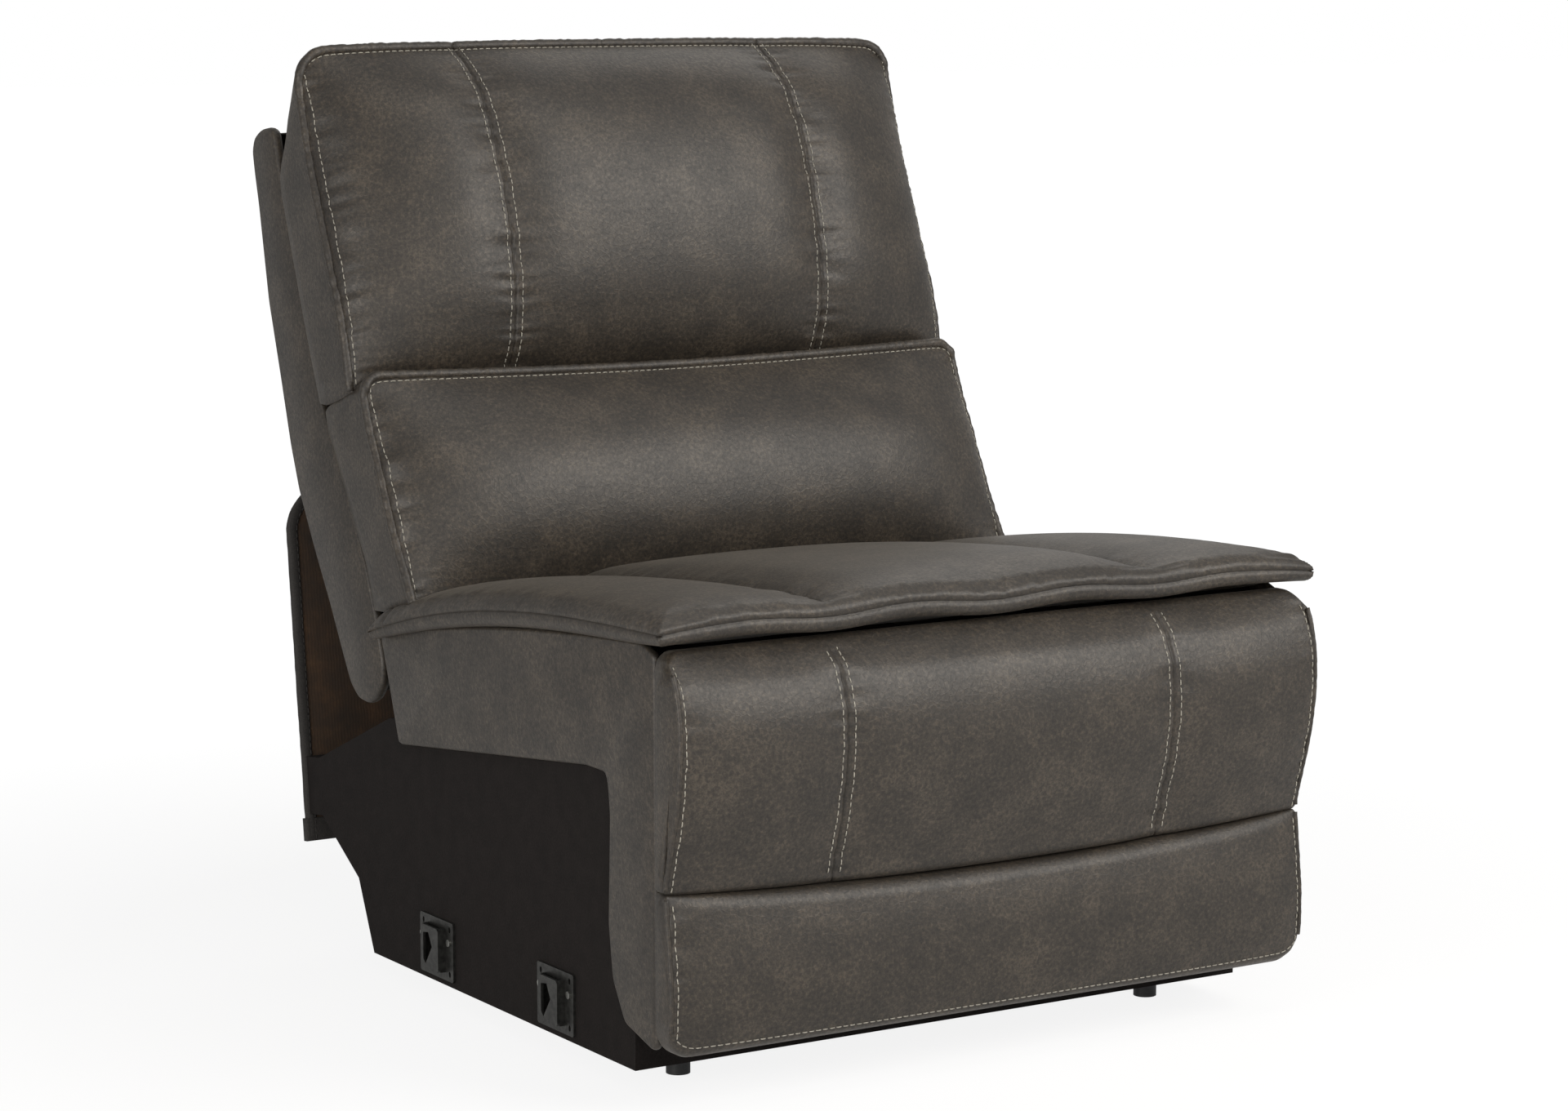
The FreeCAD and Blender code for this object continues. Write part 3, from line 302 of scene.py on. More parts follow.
def graded(marks, steps):
    """Places from mark to mark, each stretch cut into its own step."""
    places = [marks[0]]
    for low, high, step in zip(marks, marks[1:], steps):
        count = max(1, round((high - low) / step))
        places += list(np.linspace(low, high, count + 1)[1:])
    return places


def stations(half, sewn=True):
    """Places across a panel: close together at its seams and its edges, with a place on each stitch row."""
    lip, near, wide = 1.5 * MM, STITCH_OFFSET, 30 * MM
    marks, steps = [0], [9 * MM]
    if sewn:
        marks += [SEAM_X + offset for offset in (-wide, -near, -lip, 0, lip, near, wide)]
        steps += [3.8 * MM, 2.2 * MM, lip, lip, 2.2 * MM, 3.8 * MM, 9 * MM]
    places = graded(marks + [half - 28 * MM, half - WELT_STITCH, half], steps + [2.5 * MM, 2 * MM])
    return np.array([-x for x in reversed(places[1:])] + places)


def ease(count):
    """Places from 0 to 1 that lie closer together near both ends."""
    u = np.linspace(0, 1, count)
    return 0.55 * u + 0.45 * (0.5 - 0.5 * np.cos(math.pi * u))


def column(places, x):
    """Index of the station at x."""
    return int(np.argmin(np.abs(places - x)))


def fair(points, at):
    """A smooth curve through measured points, read at given places."""
    table = np.array(points, float)
    order = np.argsort(table[:, 0])
    known, wanted = table[order, 0], np.atleast_1d(at)
    slopes = np.gradient(table[order, 1], known)
    i = np.clip(np.searchsorted(known, wanted) - 1, 0, len(known) - 2)
    width = known[i + 1] - known[i]
    u = np.clip((wanted - known[i]) / width, 0, 1)
    low, high = table[order, 1][i], table[order, 1][i + 1]
    return ((2 * u ** 3 - 3 * u ** 2 + 1) * low + (u ** 3 - 2 * u ** 2 + u) * width * slopes[i]
            + (3 * u ** 2 - 2 * u ** 3) * high + (u ** 3 - u ** 2) * width * slopes[i + 1])


def fullness(x, half, seam_depth, flat, bend):
    """How far a padded panel stands out at x: round at the ends, drawn in along its seams."""
    arch = (1 - np.abs(x / half) ** flat) ** bend
    gap = np.abs(np.abs(x) - SEAM_X)
    close = 0.15 * np.exp(-(gap / (9 * MM)) ** 2)
    broad = 0.95 * np.exp(-(gap / (34 * MM)) ** 2)
    return arch - seam_depth * (close + broad)


def crack(gap):
    """Depth of the slit between the two folded cloth edges of a seam."""
    return 3.5 * MM * np.exp(-(gap / (1.0 * MM)) ** 2)


def puckers(x, along, gap, reach, depth):
    """Small gathers that run square to a seam and die out away from it."""
    value = np.array([noise.noise((a / (7.5 * MM), x / (60 * MM), 0.5))
                      + 0.7 * noise.noise((a / (16 * MM), x / (90 * MM), 4.2)) for a in along])
    return depth * value * np.exp(-(gap / reach) ** 2)


def puff(piece, free, pressure, cap):
    """Lets the filling swell the cover: cloth under pressure, held at its seams, with its travel capped."""
    mesh = piece.data
    rest = np.empty(len(mesh.vertices) * 3)
    mesh.vertices.foreach_get("co", rest)
    held = piece.vertex_groups.new(name="held")
    for index, loose in enumerate(free):
        if loose < 1:
            held.add([index], 1.0 - loose, "REPLACE")
    cloth = piece.modifiers.new("cover", "CLOTH")
    cloth.settings.vertex_group_mass = "held"
    cloth.settings.quality = CLOTH_QUALITY
    cloth.settings.use_pressure = True
    cloth.settings.uniform_pressure_force = pressure
    cloth.settings.bending_stiffness = CLOTH_BENDING
    cloth.settings.effector_weights.gravity = 0
    cloth.collision_settings.use_collision = False
    for moment in range(1, CLOTH_MOMENTS + 1):
        scene.frame_set(moment)
    grown = piece.evaluated_get(bpy.context.evaluated_depsgraph_get()).data
    moved = np.empty(len(rest))
    grown.vertices.foreach_get("co", moved)
    step = (moved - rest).reshape(-1, 3)
    ends = np.empty(len(mesh.edges) * 2, int)
    mesh.edges.foreach_get("vertices", ends)
    ends = ends.reshape(-1, 2)
    share = np.bincount(ends.ravel(), minlength=len(step))[:, None]
    loose = np.asarray(free)[:, None]
    for _ in range(EVEN_PASSES):
        near = np.zeros_like(step)
        np.add.at(near, ends[:, 0], step[ends[:, 1]])
        np.add.at(near, ends[:, 1], step[ends[:, 0]])
        step = ((1 - EVEN_SHARE) * step + EVEN_SHARE * near / share) * np.minimum(1, loose * 4)
    length = np.maximum(np.linalg.norm(step, axis=1, keepdims=True), 1e-9)
    step *= cap * np.tanh(length / cap) / length
    piece.modifiers.remove(cloth)
    piece.vertex_groups.remove(held)
    mesh.vertices.foreach_set("co", rest + step.ravel())
    mesh.update()
    scene.frame_set(1)


def line_of(piece, indices):
    """Points and outward normals of a row of a piece's vertices."""
    vertices = piece.data.vertices
    return (np.array([vertices[i].co for i in indices]), np.array([vertices[i].normal for i in indices]))


def evenly(path, pitch):
    """Places along a path, one pitch apart, with the path's length there."""
    steps = np.linalg.norm(np.diff(path, axis=0), axis=1)
    run = np.concatenate([[0], np.cumsum(steps)])
    places = np.arange(pitch / 2, run[-1], pitch)
    return places, run


def stitch_row(points, faces, path, normals, stitch=6.2 * MM, pitch=8.0 * MM, radius=0.62 * MM):
    """Adds one row of thread stitches along a path: short rounded dashes that dip in at both ends."""
    places, run = evenly(path, pitch)
    for place in places:
        ends = [np.array([np.interp(place + d * stitch / 2, run, path[:, k]) for k in range(3)])
                for d in (-1, 1)]
        up = np.array([np.interp(place, run, normals[:, k]) for k in range(3)])
        up /= np.linalg.norm(up)
        along = ends[1] - ends[0]
        size = np.linalg.norm(along)
        if size < 1e-6:
            continue
        across = np.cross(along / size, up)
        start = len(points)
        for share, height, width in ((0, -0.6, 0.5), (0.2, 0.55, 1), (0.8, 0.55, 1), (1, -0.6, 0.5)):
            centre = ends[0] + along * share + up * radius * height
            for angle in (0, 60, 120, 180, 240, 300):
                a = math.radians(angle)
                points.append(centre + radius * width * (across * math.cos(a) + up * math.sin(a)))
        faces += [(start + r * 6 + k, start + r * 6 + (k + 1) % 6, start + (r + 1) * 6 + (k + 1) % 6,
                   start + (r + 1) * 6 + k) for r in range(3) for k in range(6)]
        faces += [tuple(start + k for k in range(6)), tuple(start + 18 + k for k in range(6))]


def tube(points, faces, path, radius, gather=0.0, sides=10):
    """Adds a round tube along an open path, its radius uneven by a share where the cover gathers."""
    path = np.asarray(path)
    heading = np.gradient(path, axis=0)
    heading /= np.maximum(np.linalg.norm(heading, axis=1, keepdims=True), 1e-9)
    start = len(points)
    side = np.cross(heading[0], (0.3, 0.5, 0.8))
    for centre, way in zip(path, heading):
        side = side - way * np.dot(side, way)
        side /= np.linalg.norm(side)
        up = np.cross(way, side)
        full = radius * (1 + gather * noise.noise(Vector(centre) / (6 * MM)))
        points += [centre + full * (side * math.cos(a) + up * math.sin(a))
                   for a in np.linspace(0, 2 * math.pi, sides, endpoint=False)]
    faces += [(start + a, start + b, start + c, start + d)
              for a, b, c, d in loft_faces(len(path), sides, True)]
    faces += [tuple(range(start, start + sides)), tuple(range(len(points) - sides, len(points)))]


def sew(name, body, rows, thread=THREAD):
    """One piece that holds all the stitch rows of a cushion."""
    points, faces = [], []
    for path, normals in rows:
        stitch_row(points, faces, path, normals)
    return new_piece(name, points, faces, thread, body)


def welt(name, body, paths, radius=5.4 * MM):
    """Covered cord sewn into an edge seam."""
    points, faces = [], []
    for path in paths:
        run = evenly(path, 3 * MM)
        even = np.stack([np.interp(run[0], run[1], path[:, k]) for k in range(3)], 1)
        tube(points, faces, even, radius, 0.2)
    return new_piece(name, points, faces, COVER_CLOTH, body)


def rounded_top(x, half, corner):
    """How much lower a panel's top edge is at x, where its corner is round."""
    past = np.maximum(np.abs(x) - (half - corner), 0)
    return corner - np.sqrt(np.maximum(corner ** 2 - past ** 2, 0))


# Back cushions
def back_pillow(name, node, half, edge_line, crown_line, rear_line, shape, rows):
    """A cushion on the back: a crowned front face with a welt round it, and a boxed rear."""
    sewn = shape["seam_depth"] > 0
    places = stations(half, sewn)
    high = edge_line[-1][0] * MM
    rear = np.array(rear_line, float) * MM
    loops = []
    for x in places:
        share = 1 - (x / half) ** 2
        drop = rounded_top(x, half, shape["corner"]) + shape["sag"] * share
        bottom = edge_line[0][0] * MM + shape["lift"] * share
        t = bottom + ease(rows) * (high - drop - bottom)
        full = fullness(x, half, shape["seam_depth"], shape["flat"], shape["bend"])
        r = (fair(edge_line, t / MM) - fair(crown_line, t / MM) * full) * MM
        gap = min(abs(abs(x) - SEAM_X) if sewn else 1, half - abs(x) + 4 * MM)
        r = r - puckers(x, t, gap, *BACK_GATHERS) * (full > 0.02) + (crack(gap) if sewn else 0)
        front = np.stack([np.full(rows, x), r, t], 1)
        back = np.stack([np.full(len(rear), x), rear[:, 0], rear[:, 1]], 1)
        upper_end = np.clip((rear[:, 1] - 0.55 * high) / (0.45 * high), 0, 1)
        back[:, 2] -= drop * upper_end * np.clip((-rear[:, 0] - shape["boxed"]) / (40 * MM), 0, 1)
        back[:, 2] += shape["lift"] * share * (rear[:, 1] < 0.3 * high)
        loops.append(np.concatenate([front, back]))
    loops = on_back(np.array(loops))
    points, faces = capped_loft(loops, 3 * MM)
    piece = new_piece(name, points, faces, COVER_CLOTH, "back")
    columns = loops.shape[1]
    free = np.zeros(len(points))
    for i, x in enumerate(places):
        near = min(1.0, (half - abs(x)) / (24 * MM), abs(abs(x) - SEAM_X) / (14 * MM) if sewn else 1)
        for j in range(rows):
            free[i * columns + j] = max(0.0, min(near, (rows - 1 - j) / 9, j / 9))
    puff(piece, free, 3.0, shape["travel"])
    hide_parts(node)
    return piece, places, columns


def edge_welt(piece, places, columns, rows):
    """The line of the welt: up one side of the front face, over its top and down the other side."""
    last = len(places) - 1
    ring = ([j for j in range(rows)] + [i * columns + rows - 1 for i in range(1, last)]
            + [last * columns + j for j in reversed(range(rows))])
    return line_of(piece, ring)


def inner_row(piece, places, columns, rows, half):
    """The stitch row just inside a welt."""
    left, right = column(places, -half + WELT_STITCH), column(places, half - WELT_STITCH)
    top = rows - 5
    ring = ([left * columns + j for j in range(4, top)] + [i * columns + top for i in range(left, right + 1)]
            + [right * columns + j for j in reversed(range(4, top))])
    return line_of(piece, ring)


def seam_rows(piece, places, columns, first, last):
    """Four stitch rows, one each side of each of the two sewn seams."""
    rows = []
    for side in (-1, 1):
        for offset in (-STITCH_OFFSET, STITCH_OFFSET):
            i = column(places, side * SEAM_X + offset)
            rows.append(line_of(piece, [i * columns + j for j in range(first, last)]))
    return rows


# Edge and crown lines are pairs of height up the back and distance in front of it, rear lines are pairs of
# distance and height, all in millimetres
HEAD_HALF, HEAD_ROWS = 387 * MM, 136
HEAD_EDGE = [(286, -84), (322, -90), (376, -94), (417, -92), (462, -91), (502, -89), (548, -88), (603, -91),
             (643, -94), (672, -99)]
HEAD_CROWN = [(286, 16), (299, 30), (314, 46), (350, 68), (395, 86), (443, 98), (498, 105), (549, 103),
              (597, 88), (630, 64), (655, 38), (672, 18)]
HEAD_REAR = [(-92, 677), (-84, 674), (-76, 665), (-62, 648), (-48, 632), (-35, 613), (-26, 601), (-17, 588),
             (-8, 570), (-3, 545), (-3, 470), (-3, 400), (-4, 340), (-6, 296), (-20, 290), (-45, 287),
             (-65, 286)]
HEAD_SHAPE = {"seam_depth": 0.10, "flat": 3.2, "bend": 0.6, "corner": 34 * MM, "sag": 0, "lift": 0,
              "boxed": -10 * MM, "travel": 12 * MM}
head, head_places, head_columns = back_pillow(
    "head_pillow", "head_cushion", HEAD_HALF, HEAD_EDGE, HEAD_CROWN, HEAD_REAR, HEAD_SHAPE, HEAD_ROWS)
head_edge, _ = edge_welt(head, head_places, head_columns, HEAD_ROWS)
welt("head_welt", "back", [head_edge])
sew("head_stitching", "back", seam_rows(head, head_places, head_columns, 2, HEAD_ROWS - 1)
    + [inner_row(head, head_places, head_columns, HEAD_ROWS, HEAD_HALF)])

LUMBAR_HALF, LUMBAR_ROWS = 386 * MM, 84
LUMBAR_EDGE = [(34, -140), (56, -136), (104, -127), (156, -121), (193, -118), (227, -113), (262, -112),
               (296, -113)]
LUMBAR_CROWN = [(34, -12), (52, 8), (74, 29), (100, 48), (130, 60), (165, 65), (195, 62), (225, 53),
                (255, 38), (280, 22), (296, 10)]
LUMBAR_REAR = [(-106, 300), (-92, 298), (-76, 295), (-58, 291), (-40, 288), (-22, 287), (-14, 284),
               (-12, 262), (-22, 215), (-36, 150), (-46, 105), (-47, 80), (-47, 50), (-72, 42), (-97, 38),
               (-122, 35)]
LUMBAR_SHAPE = {"seam_depth": 0, "flat": 4.4, "bend": 0.6, "corner": 22 * MM, "sag": 12 * MM, "lift": 15 * MM,
                "boxed": 60 * MM, "travel": 10 * MM}
lumbar, lumbar_places, lumbar_columns = back_pillow(
    "lumbar_pillow", "lumbar_cushion", LUMBAR_HALF, LUMBAR_EDGE, LUMBAR_CROWN, LUMBAR_REAR, LUMBAR_SHAPE,
    LUMBAR_ROWS)
lumbar_edge, _ = edge_welt(lumbar, lumbar_places, lumbar_columns, LUMBAR_ROWS)
welt("lumbar_welt", "back", [lumbar_edge])
sew("lumbar_stitching", "back", [inner_row(lumbar, lumbar_places, lumbar_columns, LUMBAR_ROWS, LUMBAR_HALF)])


# Seat cushion
SEAT_HALF, SEAT_FRONT, SEAT_REAR = 402.5 * MM, -453 * MM, 176 * MM
RIM, ROLL = 20 * MM, 17 * MM        # height of the edge seam, and radius of the roll above it
SEAT_ARCH = 11 * MM                 # how far the edge seam rises in the middle of the seat's side
LIP = 14 * MM                       # height of the rolled lip under the seam
SEAT_BOW, SEAT_WAIST = 8 * MM, 0.012    # how far the front edge and, as a share, the sides draw in
# Marks from the seat's front to its rear, mm, and the spacing of the rows between them
SEAT_MARKS, SEAT_STEPS = [0, 0.7, 26, 80, 560, 604, 628], [1, 1.7, 4, 9, 4, 2]
SLIT, SLIT_DEEP = 0.7 * MM, 6 * MM  # half height and depth of the seam between the roll and the lip


def quarter(distance, radius):
    """A quarter round: 0 at an edge, 1 at one radius from it."""
    return np.sqrt(1 - (1 - np.clip(distance / radius, 0, 1)) ** 2)


def slit(distance):
    """How far a seam lies behind the rolls beside it."""
    return SLIT_DEEP * (1 - np.clip(distance / SLIT, 0, 1))


def seat_arch(along):
    """How much higher the edge seam runs at a place along the seat's side."""
    share = np.clip((np.asarray(along) - SEAT_FRONT) / (SEAT_REAR - SEAT_FRONT), 0, 1)
    return SEAT_ARCH * np.sin(math.pi * share) ** 0.8


def seat_pillow():
    """Pillow-top cushion: three puffed panels that roll down to an edge seam, with a rolled lip below it."""
    inner = stations(SEAT_HALF)
    places = np.concatenate([inner[:1], [-SEAT_HALF + SLIT], inner[1:-1], [SEAT_HALF - SLIT], inner[-1:]])
    shares = np.array(graded(SEAT_MARKS, SEAT_STEPS)) / SEAT_MARKS[-1]
    top, under = [], []
    for x in places:
        share = x / SEAT_HALF
        front = SEAT_FRONT + SEAT_BOW * (1 - share ** 2) ** 2
        s = front + shares * (SEAT_REAR - front)
        along = np.sin(math.pi * shares)
        px = x * (1 - SEAT_WAIST * along ** 0.8)
        side = SEAT_HALF - abs(x)
        edge = np.minimum(np.minimum(side, s - front), SEAT_REAR - s)
        gap = abs(abs(x) - SEAM_X)
        puffed = 1 - np.exp(-np.maximum(edge - 6 * MM, 0) / (34 * MM))
        crown = (11 + 9 * along) * MM
        panel = (7 if abs(x) < SEAM_X else 0) * MM * (1 - math.exp(-gap / (30 * MM)))
        close = 4 * MM * math.exp(-(gap / (10 * MM)) ** 2)
        broad = 10 * MM * math.exp(-(gap / (36 * MM)) ** 2)
        groove = close + broad + crack(gap)
        run = s if side < 60 * MM or gap < 40 * MM else np.full(len(s), x)
        wave = puckers(x, run, np.minimum(gap, edge), *SEAT_GATHERS) * np.clip(edge / (4 * MM), 0, 1)
        swing = -math.cos(math.pi * min(abs(x), 1.5 * SEAM_X) / (0.5 * SEAM_X))
        sway = 3 * MM * swing * np.exp(-(s - front) / (60 * MM))
        droop = (9 + 9 * shares ** 3) * MM * (1 - along) * abs(share) ** 6
        rim = RIM + sway + seat_arch(s) * math.exp(-side / (80 * MM)) - droop
        corner = np.minimum(np.hypot(side, s - front), np.hypot(side, SEAT_REAR - s))
        taper = 1 - 0.3 * np.exp(-corner / (60 * MM))
        lip = 1.3 * MM * np.clip(edge / SLIT, 0, 1)
        roll = (ROLL - 3 * MM) * taper * quarter(edge - SLIT, ROLL)
        n = rim + lip + roll + puffed * (crown + panel - groove) + wave
        sole = 0.8 * MM - 1.5 * MM * np.clip(1 - (s - front - 24 * MM) / (12 * MM), 0, 1)
        edge_low = rim - lip - LIP * taper * quarter(edge - SLIT, 9 * MM)
        below = edge_low - np.maximum(edge_low - sole, 0) * np.clip((edge - 32 * MM) / (16 * MM), 0, 1)
        px = px - math.copysign(1, x) * slit(side)
        s = s + slit(s - front)
        top.append(np.stack([px, s, n], 1))
        under.append(np.stack([px, s, below], 1))
    top, under = on_seat(np.array(top)), on_seat(np.array(under))
    count, columns = top.shape[:2]
    points = list(top.reshape(-1, 3))
    number = {}
    for i in range(1, count - 1):
        for j in range(1, columns - 1):
            number[i, j] = len(points)
            points.append(under[i, j])
    faces = loft_faces(count, columns, False)
    for i in range(count - 1):
        for j in range(columns - 1):
            ring = ((i, j), (i + 1, j), (i + 1, j + 1), (i, j + 1))
            faces.append(tuple(number.get(k, k[0] * columns + k[1]) for k in ring))
    piece = new_piece("seat_pillow", points, faces, COVER_CLOTH, "seat")
    free = np.zeros(len(points))
    for i, x in enumerate(places):
        near = min(1.0, max(0, SEAT_HALF - 8 * MM - abs(x)) / (26 * MM), abs(abs(x) - SEAM_X) / (15 * MM))
        for j in range(columns):
            free[i * columns + j] = max(0.0, min(near, max(0, j - 6) / 9, max(0, columns - 7 - j) / 9))
    puff(piece, free, 3.0, 10 * MM)
    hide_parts("seat_cushion")


seat_pillow()


# Footrest panels
# Edge and crown lines are pairs of height and distance to the front, in millimetres
PANEL_HALF, PANEL_REAR = 389 * MM, 419
PANEL_EDGE = [(57, 440), (90, 447), (125, 448), (170, 444), (205, 440), (226, 438), (258, 446), (296, 457),
              (332, 464), (367, 467), (393, 466), (427, 458), (457, 444)]
PANEL_CROWN = [(57, 10), (90, 12), (130, 14), (180, 14), (217, 12), (250, 12), (300, 12), (350, 11), (400, 7),
               (427, 1), (441, -5), (457, -13)]
PANEL_REAR_POINTS = 14              # points down the flat rear of a panel


def footrest_panel(name, node, low, high, rows, shape):
    """A padded panel of the footrest front: crowned, rolled over at its top and bottom."""
    sewn = shape["seam_depth"] > 0
    places = stations(PANEL_HALF, sewn)
    loops = []
    for x in places:
        share = 1 - (x / PANEL_HALF) ** 2
        floor = low * MM + rounded_top(x, PANEL_HALF, shape["low_corner"]) - shape["low_sag"] * share
        roof = high * MM - rounded_top(x, PANEL_HALF, shape["high_corner"]) - shape["high_sag"] * share
        z = floor + ease(rows) * (roof - floor)
        full = fullness(x, PANEL_HALF, shape["seam_depth"], 5.0, 0.55)
        depth = (fair(PANEL_EDGE, z / MM) + fair(PANEL_CROWN, z / MM) * full - PANEL_REAR) * MM
        low_keep = 1 - (1 - shape["low_keep"]) * share ** 0.25
        high_keep = 1 - (1 - shape["high_keep"]) * share ** 0.25
        roll = ((low_keep + (1 - low_keep) * quarter(z - floor, shape["low_roll"]))
                * (high_keep + (1 - high_keep) * quarter(roof - z, shape["high_roll"])))
        gap = min(abs(abs(x) - SEAM_X) if sewn else 1, PANEL_HALF - abs(x) + 4 * MM)
        y = -PANEL_REAR * MM - depth * roll - puckers(x, z, gap, *PANEL_GATHERS) * (full > 0.02)
        y = y + (crack(gap) * np.clip((roof - z) / (20 * MM), 0, 1) if sewn else 0)
        front = np.stack([np.full(rows, x), y, z], 1)
        rear = np.stack([np.full(PANEL_REAR_POINTS, x), np.full(PANEL_REAR_POINTS, -PANEL_REAR * MM),
                         np.linspace(roof, floor, PANEL_REAR_POINTS)], 1)
        loops.append(np.concatenate([front, rear]))
    points, faces = capped_loft(np.array(loops), 2 * MM)
    piece = new_piece(name, points, faces, COVER_CLOTH, "footrest")
    columns = rows + PANEL_REAR_POINTS
    free = np.zeros(len(points))
    for i, x in enumerate(places):
        near = min(1.0, (PANEL_HALF - abs(x)) / (22 * MM), abs(abs(x) - SEAM_X) / (14 * MM) if sewn else 1)
        for j in range(rows):
            free[i * columns + j] = max(0.0, min(near, (rows - 1 - j) / 12, j / 12))
    puff(piece, free, 2.5, shape["travel"])
    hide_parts(node)
    return piece, places, columns


UPPER_ROWS, LOWER_ROWS = 76, 56
PANEL_SAG = 13 * MM     # how far the seam between the panels hangs down in the middle
UPPER_SPAN, LOWER_SPAN = (221, 458), (56, 220.4)    # bottom and top of each panel, mm
UPPER_SHAPE = {"seam_depth": 0.35, "travel": 6 * MM,
               "low_corner": 3 * MM, "low_keep": 0.5, "low_roll": 18 * MM, "low_sag": PANEL_SAG,
               "high_corner": 18 * MM, "high_keep": 0.08, "high_roll": 34 * MM, "high_sag": 0}
LOWER_SHAPE = {"seam_depth": 0, "travel": 5 * MM,
               "low_corner": 28 * MM, "low_keep": 0.3, "low_roll": 10 * MM, "low_sag": 0,
               "high_corner": 3 * MM, "high_keep": 0.5, "high_roll": 16 * MM, "high_sag": PANEL_SAG}
upper, upper_places, upper_columns = footrest_panel(
    "footrest_upper_panel", "footrest_upper_pad", *UPPER_SPAN, UPPER_ROWS, UPPER_SHAPE)
lower, lower_places, lower_columns = footrest_panel(
    "footrest_lower_panel", "footrest_lower_pad", *LOWER_SPAN, LOWER_ROWS, LOWER_SHAPE)


def panel_sides(piece, places, columns, rows):
    """The two side edges of a footrest panel."""
    last = len(places) - 1
    return [line_of(piece, [i * columns + j for j in range(rows)]) for i in (0, last)]


def panel_inner(piece, places, columns, first, last):
    """Stitch rows just inside the side edges of a footrest panel."""
    return [line_of(piece, [column(places, side * (PANEL_HALF - WELT_STITCH)) * columns + j
                            for j in range(first, last)]) for side in (-1, 1)]


HEM_ROW = 6
lower_hem = line_of(lower, [i * lower_columns + HEM_ROW for i in range(3, len(lower_places) - 3)])
sew("footrest_stitching", "footrest", seam_rows(upper, upper_places, upper_columns, 5, UPPER_ROWS - 5)
    + panel_inner(upper, upper_places, upper_columns, 1, UPPER_ROWS - 4)
    + panel_inner(lower, lower_places, lower_columns, HEM_ROW, LOWER_ROWS - 3) + [lower_hem])
upper_edges = panel_sides(upper, upper_places, upper_columns, UPPER_ROWS)
lower_edges = panel_sides(lower, lower_places, lower_columns, LOWER_ROWS)
welt("footrest_welt", "footrest", [path for path, _ in upper_edges + lower_edges], 2.6 * MM)


# Side covers and back shell
def soft_slab(outline, low_x, high_x, edge, spacing):
    """Points and faces of a flat padded slab: an outline in Y and Z, rounded over its edge."""
    ring = []
    for (ay, az), (by, bz) in zip(outline, outline[1:] + outline[:1]):
        count = max(1, round(math.hypot(by - ay, bz - az) / spacing))
        ring += [(ay + (by - ay) * k / count, az + (bz - az) * k / count) for k in range(count)]
    ring = np.array(ring)
    for _ in range(2):
        ring = 0.5 * ring + 0.25 * (np.roll(ring, 1, 0) + np.roll(ring, -1, 0))
    way = np.roll(ring, -1, 0) - np.roll(ring, 1, 0)
    out = np.stack([way[:, 1], -way[:, 0]], 1)
    out /= np.maximum(np.linalg.norm(out, axis=1, keepdims=True), 1e-9)
    area = np.sum(ring[:, 0] * np.roll(ring[:, 1], -1) - np.roll(ring[:, 0], -1) * ring[:, 1])
    out *= 1 if area > 0 else -1
    half, middle = (high_x - low_x) / 2, (high_x + low_x) / 2
    bend = np.linspace(-90, 90, 7)
    loops = [np.column_stack([np.full(len(ring), middle + half * math.sin(math.radians(a))),
                              ring - out * edge * (1 - math.cos(math.radians(a)))]) for a in bend]
    return loops


def slab_piece(name, outlines, finish, body, edge, spacing=4.5 * MM):
    """One piece of several soft slabs, each given as an outline and its two X limits."""
    points, faces = [], []
    for outline, low_x, high_x in outlines:
        loops = soft_slab(outline, low_x, high_x, edge, spacing)
        count = len(loops[0])
        start = len(points)
        for loop in loops:
            points.extend(loop)
        faces += [tuple(start + k for k in quad) for quad in loft_faces(len(loops), count, True)]
        faces += [tuple(range(start, start + count)), tuple(range(len(points) - count, len(points)))]
    return new_piece(name, points, faces, finish, body)


def seat_point(along, above):
    """Y and Z of a point of the seat's side."""
    _, y, z = on_seat((0.0, along * MM, above * MM))
    return float(y), float(z)


def back_point(rear, up):
    """Y and Z of a point of the back's side."""
    _, y, z = on_back((0.0, rear * MM, up * MM))
    return float(y), float(z)


# Outlines in millimetres: the leg in Y and Z, the cheek and the rear skin rearward and up the back
LEG = [(-315, 321), (-319, 306), (-322, 280), (-320, 220), (-318, 170), (-326, 114), (-350, 74), (-405, 58),
       (-414, 62)]
COVER_TOP = [seat_point(along, float(seat_arch(along * MM)) / MM + 2) for along in range(-390, 151, 30)]
COVER_SIDE = ([seat_point(180, -2), seat_point(166, -60), seat_point(152, -121), seat_point(-100, -121),
               seat_point(-262, -121)] + [(y * MM, z * MM) for y, z in LEG] + [seat_point(-414, -6)]
              + COVER_TOP)
COVER_INNER, COVER_OUTER = 377.2 * MM, 386.1 * MM
for side, sign in (("left", -1), ("right", 1)):
    cover = slab_piece(f"side_cover_{side}_cloth", [(COVER_SIDE, sign * COVER_INNER, sign * COVER_OUTER)],
                       COVER_CLOTH, "seat", 4 * MM)
    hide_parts(f"side_cover_{side}")

